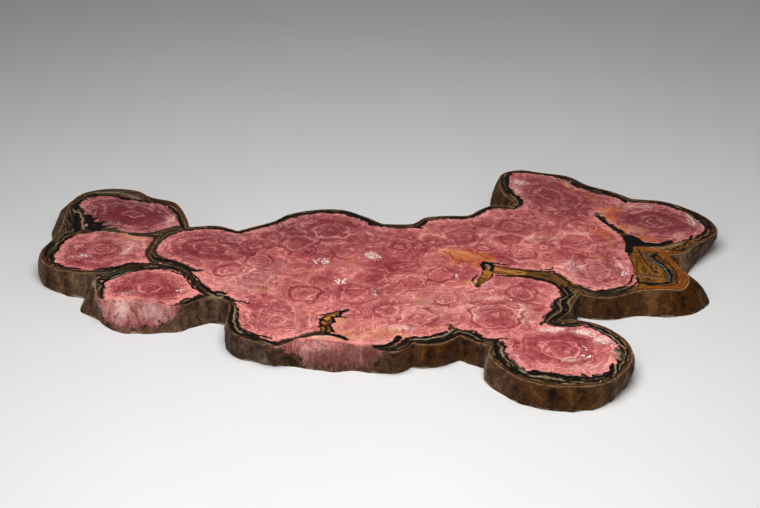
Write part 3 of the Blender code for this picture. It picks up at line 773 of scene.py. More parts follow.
@dataclass
class FacePattern:
    """What the cut face shows at each of its points.

    Args:
        edge: The outline that the face is cut along.
        belt: The rim's measures round the outline.
        extra: Small rosettes that fill the ground between the drawn ones.
    """

    edge: Array
    belt: Array
    extra: tuple[Rosette, ...] = ()

    def measure(self, points: Array) -> Fields:
        """Measure every feature at the given points.

        Args:
            points: Places on the face as rows of x, y.

        Returns:
            A table of named values, one row for each point.
        """
        fields = self.bands(points)
        fields |= self.rings(points, np.maximum(-fields["depth"], 0.0))
        fields |= self.body(points)
        for mineral in VEINS:
            fields[f"vein_{mineral.value}"] = self.gap_to_veins(points, VEINS[mineral])
        return fields

    def bands(self, points: Array) -> Fields:
        """Measure how deep the points lie in the rim or in a seam.

        Args:
            points: Places as rows of x, y.

        Returns:
            The distance from the edge, the depth in the bands, and their measures.
        """
        edge_mm, line, share = distance_to_course(points, closed(self.edge))
        here, there = self.belt[line], self.belt[(line + 1) % len(self.belt)]
        belt = here * (1 - share[:, None]) + there * share[:, None]
        wave = 1.0 + grain(points, (0.22, 4.0, 3.0), (0.14, 1.7, 4.0))
        depth = belt[:, WIDTH] * wave - edge_mm
        black, ochre = belt[:, BLACK], belt[:, OCHRE]
        for seam in SEAMS:
            course = np.array(seam.course)
            gap, line, share = distance_to_course(points, course[:, :2])
            half = course[line, 2] * (1 - share) + course[line + 1, 2] * share
            into = half * (0.9 + 0.2 * (wave - 1.0)) - gap
            close = smoothstep(-1.0, 1.0, into - depth)
            black = black * (1 - close) + seam.black * close
            ochre = ochre * (1 - close) + seam.ochre * close
            depth = np.maximum(depth, into)
        return {"edge": edge_mm, "depth": depth, "black": black, "ochre": ochre,
                "warmth": belt[:, WARMTH], "pink": belt[:, PINK], "relief_shade": np.zeros(len(points))}

    def rings(self, points: Array, space: Array) -> Fields:
        """Measure where the points lie in the rings of the nearest rosette.

        Args:
            points: Places as rows of x, y.
            space: How far each point is from the nearest dark band.

        Returns:
            The ring number, the radius, the way from the middle, the rings' strength,
            and how far the next rosette is.
        """
        best, second = np.full((2, len(points)), np.inf)
        ring, power, radii = np.zeros((3, len(points)))
        offset = np.zeros((len(points), 3))
        swell = grain(points, (0.28, 5.0, 11.0), (0.16, 2.2, 12.0))
        points = drift(points, (0.9, 3.2, 61.0), (0.4, 1.4, 61.0))
        for k, r in enumerate(ROSETTES + self.extra):
            u, v = turned(points, r.x, r.y, r.turn)
            u, v = u / math.sqrt(r.stretch), v * math.sqrt(r.stretch)
            turn = np.arctan2(v, u)
            lobes = 0.05 * np.sin(turn * 2 + k * 1.7) + 0.04 * np.sin(turn * 3 + k * 2.9)
            radius = np.hypot(u, v) * (1.0 + lobes + swell)
            nearness = radius / r.reach
            if r.fitted:
                radius = r.reach * 1.05 * radius / (radius + space + 0.6)
            better = nearness < best
            second = np.minimum(second, np.where(better, best, nearness))
            best[better] = nearness[better]
            scale = np.interp(radius, (0.0, r.core, r.pale, r.dark, r.reach, r.reach * 3),
                              (0.0, 1.0, 2.0, 3.0, 4.0, 8.0)) + 0.3 * math.sin(k * 2.4)
            ring[better], radii[better], power[better] = scale[better], radius[better], r.strength
            offset[better] = np.column_stack([points - (r.x, r.y), np.full(len(points), k)])[better]
        return {"ring": np.maximum(ring, 0.0), "radius": radii, "offset": offset, "power": power,
                "meet": (second - best) / np.maximum(best, 0.6)}

    @staticmethod
    def body(points: Array) -> Fields:
        """Paint the pink ground with its soft stains.

        Args:
            points: Places as rows of x, y.

        Returns:
            The ground's colour, and how much of it is a stain of another mineral.
        """
        main, light, deep = (np.array(stone(rgb)[:3]) for rgb in
                             ((186, 93, 94), (216, 124, 119), (148, 60, 66)))
        flow = drift(points, (2.6, 7.0, 51.0))
        tone = grain(flow, (0.9, 14.0, 1.0)) + grain(flow * (0.6, 1.0), (1.0, 5.0, 2.0)) \
            + grain(flow, (0.5, 2.2, 5.0))
        up, down = np.clip(tone, 0, 1)[:, None], np.clip(-tone, 0, 1)[:, None]
        colour = main * (1 - up - down) + light * up + deep * down
        ragged = grain(flow, (0.38, 3.0, 8.0)) + grain(points, (0.28, 1.4, 9.0)) \
            + grain(points, (0.16, 0.8, 10.0))
        stained = np.zeros(len(points))
        for s in STAINS:
            u, v = turned(points, s.x, s.y, s.turn)
            reach = np.hypot(u / s.across, v / s.along) + ragged
            cover = s.strength * smoothstep(1.25, 0.35, reach)[:, None]
            colour = colour * (1 - cover) + np.array(stone(s.tint.value)[:3]) * cover
            if s.tint in EARTHY:
                stained = np.maximum(stained, cover[:, 0])
        return {"body": colour, "stained": stained}

    @staticmethod
    def gap_to_veins(points: Array, mineral_veins: tuple[Vein, ...]) -> Array:
        """Measure how far points are from one mineral's veins.

        Args:
            points: Places as rows of x, y.
            mineral_veins: The mineral's veins.

        Returns:
            The distance outside the nearest vein, negative inside it, and 9 at most.
        """
        best = np.full(len(points), 9.0)
        points = wander(points)
        for vein in mineral_veins:
            course = np.array(vein.course, float)
            some = near(points, course, 4.0)
            gap = distance_to_course(points[some], course)[0] - vein.half_width
            best[some] = np.minimum(best[some], gap)
        return best


# ---------------------------------------------------------------- finishes


def stone(rgb: Triple) -> Colour:
    """Turn an everyday 0-255 colour into linear light with a full alpha."""
    shares = [value / 255.0 for value in rgb]
    return (*(v / 12.92 if v <= 0.04045 else ((v + 0.055) / 1.055) ** 2.4 for v in shares), 1.0)


def stops(*table: tuple[float, float, float, float]) -> Stops:
    """Make a ramp's stops from rows of a value and its 0-255 red, green and blue."""
    return tuple((value, stone(rgb)) for value, *rgb in table)


class Wire:
    """A value that runs from one of a material's nodes, and adds up as a number does."""

    def __init__(self, socket: bpy.types.NodeSocket) -> None:
        """Hold the socket that the value comes from."""
        self.socket = socket

    def node(self, kind: str, inputs: dict[str | int, "Value"], output: str | int = 0,
             **settings: object) -> "Wire":
        """Add a node to the same material."""
        return add_node(self.socket.id_data, kind, inputs, output, **settings)

    def math(self, operation: str, other: "Value" = 0.0, clamp: bool = False) -> "Wire":
        """Return the result of one sum with another value."""
        return self.node("Math", {0: self, 1: other}, operation=operation, use_clamp=clamp)

    def __add__(self, other: "Value") -> "Wire":
        """Return the sum."""
        return self.math("ADD", other)

    def __sub__(self, other: "Value") -> "Wire":
        """Return the difference."""
        return self.math("SUBTRACT", other)

    def __mul__(self, other: "Value") -> "Wire":
        """Return the product."""
        return self.math("MULTIPLY", other)

    def rest(self) -> "Wire":
        """Return what is missing to 1."""
        return self.node("Math", {0: 1.0, 1: self}, operation="SUBTRACT")

    def vector(self, operation: str, *others: "Value") -> "Wire":
        """Return the result of one sum on vectors."""
        return self.node("VectorMath", dict(enumerate((self, *others))), operation=operation)

    def drawn(self, scale: Triple, axis: int, shift: "Value") -> "Wire":
        """Return the place scaled, and moved by shift along one axis."""
        return self.vector("MULTIPLY_ADD", scale, self.node("CombineXYZ", {axis: shift}))

    def height(self) -> "Wire":
        """Return the place's height."""
        return self.node("SeparateXYZ", {0: self}, 2)

    def noise(self, size: float, detail: float = 2.0, rough: float = 0.5,
              twist: float = 0.0) -> "Wire":
        """Return noise of 0 to 1 at the place, with lumps of the given size in millimetres."""
        return self.node("TexNoise", {"Vector": self, "Scale": 1.0 / size, "Detail": detail,
                                      "Roughness": rough, "Distortion": twist}, "Fac")

    def cells(self, size: float, output: str = "Distance", **settings: object) -> "Wire":
        """Return a measure of cells of the given size in millimetres at the place."""
        return self.node("TexVoronoi", {"Vector": self, "Scale": 1.0 / size}, output, **settings)

    def layers(self, across: "Wire") -> "Wire":
        """Return noise drawn out into thin layers that follow a measure across them."""
        return self.drawn((0.12, 0.12, 0.0), 0, across).noise(1.0, 2.0, 0.6)

    def ragged(self, place: "Wire", *lumps: tuple[float, float]) -> "Wire":
        """Return the value shaken by noise, one (size, amount) pair after another."""
        value = self
        for size, amount in lumps:
            value = value + (place.noise(size) - 0.5) * (amount * 2.0)
        return value

    def step(self, low: float, high: float, first: float = 0.0, last: float = 1.0) -> "Wire":
        """Return a smooth change from first to last as the value goes from low to high."""
        return self.node("MapRange", {0: self, 1: low, 2: high, 3: first, 4: last},
                         interpolation_type="SMOOTHSTEP")

    def ramp(self, colours: Stops, reach: float = 1.0) -> "Wire":
        """Change colour with the value.

        Args:
            colours: The stops, in order.
            reach: The value at which the last stop can stand.

        Returns:
            The colour.
        """
        made = self.node("ValToRGB", {0: self.math("DIVIDE", reach, True)}, "Color")
        elements = made.socket.node.color_ramp.elements
        for element, (value, colour) in zip(elements, (colours[0], colours[-1])):
            element.position, element.color = value / reach, colour
        for value, colour in colours[1:-1]:
            elements.new(value / reach).color = colour
        return made

    def mix(self, share: "Value", first: "Value", last: "Value") -> "Wire":
        """Return a colour between two others, where plain ones are 0-255 colours."""
        first, last = (stone(c) if isinstance(c, tuple) else c for c in (first, last))
        return self.node("Mix", {0: share, 6: first, 7: last}, 2, data_type="RGBA")

    def between(self, first: "Value", last: "Value") -> "Wire":
        """Return the colour between first and last at this share of the way."""
        return self.mix(self, first, last)

    def toward(self, other: "Value", share: "Value") -> "Wire":
        """Return this colour changed into another one by a share."""
        return self.mix(share, self, other)

    def blend(self, first: float, last: float) -> "Wire":
        """Return the number between first and last at this share of the way."""
        return self.node("Mix", {0: self, 2: first, 3: last})


Value = float | tuple | Wire


def feed(socket: bpy.types.NodeSocket, value: Value) -> None:
    """Link a socket, or set it where the value is a plain number or colour."""
    if isinstance(value, Wire):
        socket.id_data.links.new(value.socket, socket)
    else:
        socket.default_value = value


def add_node(tree: bpy.types.NodeTree, kind: str, inputs: dict[str | int, Value],
             output: str | int = 0, **settings: object) -> Wire:
    """Add a node to a material.

    Args:
        tree: The material's nodes.
        kind: The node's type, without the word that all types start with.
        inputs: Values for its inputs, by name or number.
        output: Which of its outputs is wanted.
        settings: The node's own settings.

    Returns:
        The wire from that output.
    """
    made = tree.nodes.new("ShaderNode" + kind)
    for key, value in settings.items():
        setattr(made, key, value)
    for key, value in inputs.items():
        feed(made.inputs[key], value)
    return Wire(made.outputs[output])


class Material:
    """A material in the making."""

    def __init__(self, name: str) -> None:
        """Start an empty material of the given name."""
        self.made = bpy.data.materials.new(name)
        self.made.use_nodes = True
        self.tree = self.made.node_tree
        self.surface = self.tree.nodes["Principled BSDF"].inputs

    def value(self, name: str, output: str = "Fac") -> Wire:
        """Return a named value of the mesh."""
        return add_node(self.tree, "Attribute", {}, output, attribute_name=name)

    def place(self, squash: float = 1.0) -> Wire:
        """Return the place on the piece in millimetres, its height scaled by squash."""
        spot = add_node(self.tree, "TexCoord", {}, "Object")
        return spot.vector("MULTIPLY", (1.0 / MM, 1.0 / MM, squash / MM))

    def finish(self, colour: Wire, roughness: Value, relief: Wire, depth: float,
               strength: float) -> bpy.types.Material:
        """Connect colour, roughness and bump to the surface.

        Args:
            colour: The stone's colour.
            roughness: How dull it is.
            relief: The relief that the bump follows.
            depth: The relief's depth in metres.
            strength: How much of it shows.

        Returns:
            The finished material.
        """
        bump = relief.node("Bump", {"Strength": strength, "Distance": depth, "Height": relief})
        for name, value in (("Base Color", colour), ("Roughness", roughness), ("Normal", bump)):
            feed(self.surface[name], value)
        return self.made


RING_TONES = ((0.0, -0.05), (0.35, -0.55), (0.85, -0.70), (1.0, 0.1), (1.12, 0.5), (1.25, -0.45),
              (1.6, -0.45), (1.82, 0.55), (2.05, 0.95), (2.22, -0.50), (2.6, -0.90), (3.0, -0.85),
              (3.2, -0.1), (3.5, 0.35), (3.9, -0.15), (4.4, 0.15), (8.0, 0.0))
BANDS = stops((0.0, 66, 44, 26), (0.09, 96, 72, 46), (0.15, 158, 138, 110), (0.27, 150, 128, 98),
              (0.33, 78, 60, 38), (0.42, 20, 13, 9), (0.62, 11, 7, 5), (0.78, 24, 15, 9),
              (0.86, 78, 54, 30), (1.0, 66, 44, 26))
SHADE = stops((0.0, 38, 25, 15), (0.12, 64, 48, 28), (0.24, 86, 66, 40), (0.34, 44, 30, 18),
              (0.44, 14, 9, 6), (0.70, 18, 12, 8), (0.82, 52, 34, 20), (1.0, 38, 25, 15))
EARTH = stops((0.0, 74, 46, 28), (0.14, 98, 70, 44), (0.20, 138, 114, 84), (0.28, 102, 76, 50),
              (0.38, 56, 36, 22), (0.52, 26, 17, 11), (0.60, 66, 44, 27), (0.74, 92, 62, 38),
              (0.86, 52, 33, 20), (1.0, 74, 46, 28))
GOLD = stops((0.0, 32, 18, 4), (0.34, 42, 25, 6), (0.41, 130, 78, 20), (0.45, 48, 28, 7),
             (0.50, 118, 68, 14), (0.56, 168, 114, 50), (0.60, 66, 38, 9), (0.67, 150, 90, 28),
             (1.0, 88, 48, 8))
AMBER = stops((0.0, 90, 52, 18), (0.36, 120, 70, 24), (0.42, 200, 128, 56), (0.46, 92, 56, 20),
              (0.52, 208, 140, 68), (0.58, 150, 88, 30), (0.64, 220, 164, 98), (1.0, 140, 84, 28))
RUST = stops((0.0, 84, 34, 6), (0.38, 110, 50, 10), (0.45, 150, 80, 20), (0.49, 70, 28, 6),
             (0.53, 168, 92, 28), (0.58, 112, 48, 10), (0.64, 186, 122, 52), (1.0, 120, 56, 12))
SKIN = stops((0.3, 28, 17, 10), (0.5, 64, 42, 25), (0.7, 108, 76, 47))
COOL_SKIN = stops((0.25, 36, 24, 16), (0.42, 74, 54, 42), (0.57, 100, 78, 64), (0.72, 128, 106, 88),
                  (0.95, 156, 134, 112))
WARM_SKIN = stops((0.25, 22, 9, 0), (0.42, 46, 22, 0), (0.52, 78, 41, 3), (0.6, 58, 30, 2),
                  (0.7, 100, 60, 12), (0.82, 84, 52, 16), (0.95, 142, 104, 56))


def pink_stone(g: Material, place: Wire) -> Wire:
    """Paint the pink stone with its rings, fibres and grain.

    Args:
        g: The material.
        place: The place in millimetres.

    Returns:
        The stone's colour.
    """
    body = g.value("body", "Color")
    scallops = place.cells(2.7, feature="SMOOTH_F1") * 2.0
    push = scallops.ragged(place, (2.4, 0.6), (0.8, 0.5), (0.35, 0.2))
    radius = g.value("radius") + push
    ring = g.value("ring") + (push - 0.9) * 0.45
    tones = tuple((u, (*[(v + 1) / 2] * 3, 1.0)) for u, v in RING_TONES)
    shade = (ring.ramp(tones, 8.0) - 0.5) * 1.25 * g.value("power")
    layers = place.drawn((0.0, 0.07, 0.07), 0, radius * 1.25)
    fine = (layers.noise(1.0, 2.0, 0.7) - 0.5) * g.value("ring").step(4.0, 7.0, 2.5, 2.0)
    thread = (layers.noise(1.3, 1.0) - 0.5).math("ABSOLUTE").step(0.06, 0.0) \
        * place.noise(3.0).step(0.35, 0.6, 0.15, 1.1)
    heading = g.value("offset", "Vector").vector("MULTIPLY", (1.0, 1.0, 0.0)).vector("NORMALIZE")
    fibre = heading.drawn((11.0, 11.0, 0.0), 2, radius * 0.28)
    fibres = (fibre.noise(1.0) - 0.5) * 0.45
    facets = (place.cells(1.25, "Color") - 0.5) * 0.34
    swirl = (place.noise(5.5, 3.0, 0.6, 1.4) - 0.5) * 1.5
    speckle = (place.noise(1.1, 3.0, 0.7) - 0.5) * 1.7
    fringe = g.value("depth").step(-4.2, -0.4) * fibre.noise(0.5).step(0.35, 0.65, 0.15, 1.0)
    meet = g.value("meet").ragged(place, (2.0, 0.08), (0.7, 0.06))
    joint = meet.step(0.16, 0.02) * place.noise(4.5).step(0.42, 0.66, 0.0, 0.65)
    halo = meet.step(0.9, 0.1, 0.0, 0.12)
    shade = sum((fine, thread, fibres, facets, swirl, speckle, fringe, joint, halo), shade)
    deep = body.toward((138, 42, 54), 0.8)
    pale = body.vector("MULTIPLY", (1.75, 2.1, 2.0)).toward((240, 168, 160), 0.45)
    cool = body.toward((172, 94, 101), place.noise(7.0).step(0.45, 0.75, 0.0, 0.35))
    plain = g.value("stained").step(0.1, 0.9, 1.0, 0.35)
    dark, light = shade.step(0.1, -0.9) * plain, shade.step(0.08, 1.22) * plain
    return cool.toward(deep, dark).toward(pale, light)


class CutSurface(Enum):
    """How a cut face was left."""

    POLISHED = "polished"
    SAWN = "sawn"


@dataclass(frozen=True)
class CutFaceFinish:
    """The patterned stone of a cut face.

    Args:
        surface: Whether the face was polished or only sawn.
        pink_roughness: How dull the pink stone is.
        dark_roughness: How dull the bands and veins are.
        relief: The depth of the bump, in metres.
    """

    surface: CutSurface
    pink_roughness: float
    dark_roughness: float
    relief: float

    @staticmethod
    def bands(g: Material, place: Wire, pink: Wire) -> tuple[Wire, Wire]:
        """Lay the rim and the seams over the pink stone.

        Args:
            g: The material.
            place: The place in millimetres.
            pink: The colour of the stone under them.

        Returns:
            The colour, and how much of the surface is dark band.
        """
        teeth = place.cells(1.7) - 0.45
        bare = g.value("pink").step(0.75, 0.35)
        smooth = g.value("depth").ragged(place, (3.0, 0.6), (1.0, 0.22))
        bite = teeth * g.value("black").step(0.3, 1.0, 0.9, 1.7)
        hidden = bare.rest() * g.value("edge").step(1.6, 0.8)
        depth = (smooth + bite).ragged(place, (0.4, 0.15)) - hidden * 2.0
        turn = (smooth + teeth * 0.75 - 0.75).math("DIVIDE", 1.6) + place.noise(16.0, 1.0)
        turn = turn.math("FRACT")
        stripes = place.layers(smooth).ragged(place, (2.2, 0.16))
        black = g.value("black") * place.noise(5.0).step(0.25, 0.5, 0.35, 1.0)
        gold, warmth = g.value("ochre"), g.value("warmth")
        colour = turn.ramp(SHADE).toward(turn.ramp(BANDS), place.noise(6.0).step(0.36, 0.54))
        colour = turn.ramp(EARTH).toward(colour, black)
        colour = colour.toward((17, 13, 11), black * depth.step(0.62, 0.42))
        colour = colour.toward(stripes.ramp(GOLD), gold.ragged(place, (3.0, 0.2)).step(0.3, 0.75))
        selvage = gold * depth.step(0.85, 0.35) * place.noise(3.4).step(0.36, 0.56)
        colour = colour.toward((40, 28, 12), selvage)
        edge = g.value("edge").ragged(place, (1.8, 0.4), (0.6, 0.25))
        golden = place.noise(2.2).between((92, 44, 10), (132, 72, 20))
        skin = place.noise(1.3, 3.0, 0.6).ramp(SKIN).toward(golden, gold)
        colour = colour.toward(skin, (edge - warmth * 0.9).step(1.0, 0.6) * bare)
        patches = place.noise(2.6).step(0.34, 0.62, 0.12, 0.9)
        patches = patches.math("ADD", gold.math("MAXIMUM", warmth) * 0.8, True)
        # worn marks the pale line along the sawn edge: partly the stone's cream layer and partly a
        # painted highlight on the edge.
        worn = edge.step(0.40, 0.22) * patches * bare
        colour = colour.toward(gold.between((164, 130, 98), (214, 168, 122)), worn)
        cover = depth.step(-0.04, 0.12)
        return pink.toward(colour, cover), cover

    @staticmethod
    def veins(g: Material, place: Wire, colour: Wire, cover: Wire) -> tuple[Wire, Wire]:
        """Draw the mineral veins, one mineral over another.

        Args:
            g: The material.
            place: The place in millimetres.
            colour: The colour under them.
            cover: How much of the surface is dark band already.

        Returns:
            The colour, and how much of the surface is band or vein.
        """
        clouds = place.noise(1.4, 3.0, 0.6)
        gaps = {mineral: g.value(f"vein_{mineral.value}") for mineral in Mineral}
        fills = {
            Mineral.BROWN: (clouds.between((30, 18, 12), (78, 48, 30)), 0.45),
            Mineral.OLIVE: (clouds.between((44, 40, 26), (88, 80, 58)), 0.35),
            Mineral.AMBER: (place.layers(gaps[Mineral.AMBER] * 1.1).ramp(AMBER), 0.7),
            Mineral.RUST: (place.layers(gaps[Mineral.RUST] * 1.5).ramp(RUST), 0.3),
            Mineral.CREAM: (clouds.between((96, 78, 56), (174, 155, 128)), 0.16),
            Mineral.SLATE: ((20, 21, 24), 0.12),
            Mineral.BLACK: (clouds.between((8, 6, 5), (26, 17, 11)), 0.45),
            # The near-white fill paints the glints.
            Mineral.WHITE: ((255, 246, 240), 0.35),
        }
        for mineral, (fill, shake) in fills.items():
            gap = gaps[mineral].ragged(place, (1.5, shake), (0.5, shake * 0.5))
            line = gap.step(0.14, -0.08)
            if mineral is Mineral.SLATE:
                streak = gap.step(-0.25, -0.45) * clouds.step(0.3, 0.6, 0.45, 1.0)
                fill = streak.between(fill, (100, 103, 104))
            # The white lines break into specks, painted glints, and don't count as cover.
            if mineral is Mineral.WHITE:
                line = line * place.cells(0.9).step(0.48, 0.30)
            else:
                cover = cover.math("MAXIMUM", line)
            colour = colour.toward(fill, line)
        return colour, cover

    def make(self) -> bpy.types.Material:
        """Build the material.

        Returns:
            The finished material.
        """
        g = Material(f"{self.surface.value}_stone")
        place = g.place()
        colour, cover = self.bands(g, place, pink_stone(g, place))
        colour, cover = self.veins(g, place, colour, cover)
        dullness = cover.blend(self.pink_roughness, self.dark_roughness)
        relief = place.noise(3.0) + place.noise(0.35, 4.0, 0.6) * 0.4
        if self.surface is CutSurface.SAWN:
            dust = place.noise(6.0, 4.0).step(0.3, 0.8, 0.10, 0.4)
            colour = colour.toward((176, 148, 134), dust)
            marks = place.node("TexWave", {"Vector": place, "Scale": 0.35, "Distortion": 1.2,
                                           "Detail": 2.0, "Detail Scale": 0.3}, "Fac")
            relief = relief + marks * 1.6
        return g.finish(colour, dullness + place.noise(1.2, 3.0) * 0.10, relief, self.relief, 0.5)


@dataclass(frozen=True)
class WallFinish:
    """The slice's wall: brown fluted skin, and bare pink stone where it broke.

    Args:
        skin_roughness: How dull the skin is.
        broken_roughness: How dull the broken stone is.
        shine: How strongly the wall mirrors light.
        relief: The depth of the bump, in metres.
    """

    skin_roughness: float = 0.62
    broken_roughness: float = 0.4
    shine: float = 0.07
    relief: float = 0.0004

    @staticmethod
    def skin(g: Material, place: Wire) -> Wire:
        """Paint the brown skin, clouded and fluted, with painted shade in its hollows and clefts
        and painted light on its flutes.

        Args:
            g: The material.
            place: The place in millimetres.

        Returns:
            The skin's colour.
        """
        warmth = g.value("warmth")
        clouds = g.place(0.8).noise(5.4, 4.0, 0.6, 1.6)
        lumps = place.noise(1.5, 4.0, 0.7)
        flutes = g.place(0.12).cells(8.0, feature="DISTANCE_TO_EDGE")
        flutes = flutes.ragged(place, (2.4, 0.05), (0.7, 0.02))
        # Painted shade: the clefts between the flutes and the sunken parts of the wall's relief are
        # darkened, and the flutes' middles lightened as painted light.
        cleft_shade = flutes.step(0.09, 0.0) * g.place(0.2).noise(9.0).step(0.35, 0.65, 0.0, 0.15)
        tone = clouds * 0.85 + lumps * 0.6 + g.value("relief_shade") * 0.12 - cleft_shade * warmth.rest()
        tone = tone + flutes.step(0.05, 0.35, -0.08, 0.12) - 0.17
        colour = tone.ramp(COOL_SKIN).toward(tone.ramp(WARM_SKIN), warmth)
        height = place.height()
        foot = height.ragged(place, (2.0, 0.5)).step(0.9, 0.4) * place.noise(5.0).step(0.5, 0.6)
        colour = colour.toward((168, 152, 130), foot * 0.6)
        moss = height.step(3.0, 0.4) * place.noise(4.0).step(0.5, 0.7)
        colour = colour.toward((84, 70, 26), moss * 0.6)
        # A paler band along the top of the wall: partly the cream layer and partly a painted
        # highlight on the edge.
        lip_line_and_highlight = height.step(8.35, 8.8) * place.noise(2.0).step(0.35, 0.6)
        return colour.toward((112, 84, 58), lip_line_and_highlight * 0.5)

    @staticmethod
    def broken(g: Material, place: Wire) -> Wire:
        """Paint the broken pink stone, stepped and cracked, with pale patches that are partly
        shards and partly painted sheen.

        Args:
            g: The material.
            place: The place in millimetres.

        Returns:
            The stone's colour.
        """
        streaks = g.place(0.6).noise(1.1, 4.0, 0.7)
        spot, earthy = g.place(0.7), g.value("stained")
        gap = spot.cells(4.4, feature="DISTANCE_TO_EDGE").ragged(place, (1.2, 0.06), (0.4, 0.03))
        # The pale cells are partly pale shards and partly painted sheen on the broken faces.
        pale = spot.cells(4.4, "Color").step(0.3, 0.8, 0.0, 0.6) * earthy.rest()
        colour = g.value("body", "Color").toward((150, 112, 108), 0.2)
        colour = colour.toward((206, 160, 152), pale)
        colour = colour.toward((112, 52, 52), streaks.step(0.56, 0.36, 0.0, 0.5))
        colour = colour.toward((224, 176, 166), streaks.step(0.52, 0.7, 0.0, 0.35))
        colour = colour.toward((92, 46, 42), gap.step(0.04, 0.0, 0.0, 0.3))
        colour = colour.toward((108, 58, 50), earthy * 0.45)
        lower = place.height().ragged(place, (3.0, 1.4), (0.9, 0.7)).step(3.6, 0.8)
        earth = streaks.step(0.4, 0.6).between((50, 28, 20), (112, 78, 60))
        colour = colour.toward(earth, lower * 0.8)
        cracks = g.place(0.5).noise(7.0).ragged(place, (0.7, 0.03)) - 0.46
        return colour.toward((58, 32, 26), cracks.math("ABSOLUTE").step(0.010, 0.0) * 0.7)

    def make(self) -> bpy.types.Material:
        """Build the material.

        Returns:
            The finished material.
        """
        g = Material("weathered_skin")
        place, pink = g.place(), g.value("pink")
        bare = (pink + (place.height() - 4.5) * 0.07).ragged(place, (3.4, 0.45), (0.9, 0.2))
        bare = bare.step(0.42, 0.58) * pink.step(0.03, 0.12)
        colour = self.skin(g, place).toward(self.broken(g, place), bare)
        feed(g.surface["Specular IOR Level"], self.shine)
        return g.finish(colour, bare.blend(self.skin_roughness, self.broken_roughness),
                        place.noise(1.2, 5.0, 0.65) + place.noise(0.4, 3.0), self.relief, 0.8)


# ---------------------------------------------------------------- the slice


def place_object(name: str, data: bpy.types.ID) -> bpy.types.Object:
    """Put a new object with the given data into the scene."""
    made = bpy.data.objects.new(name, data)
    bpy.context.scene.collection.objects.link(made)
    return made


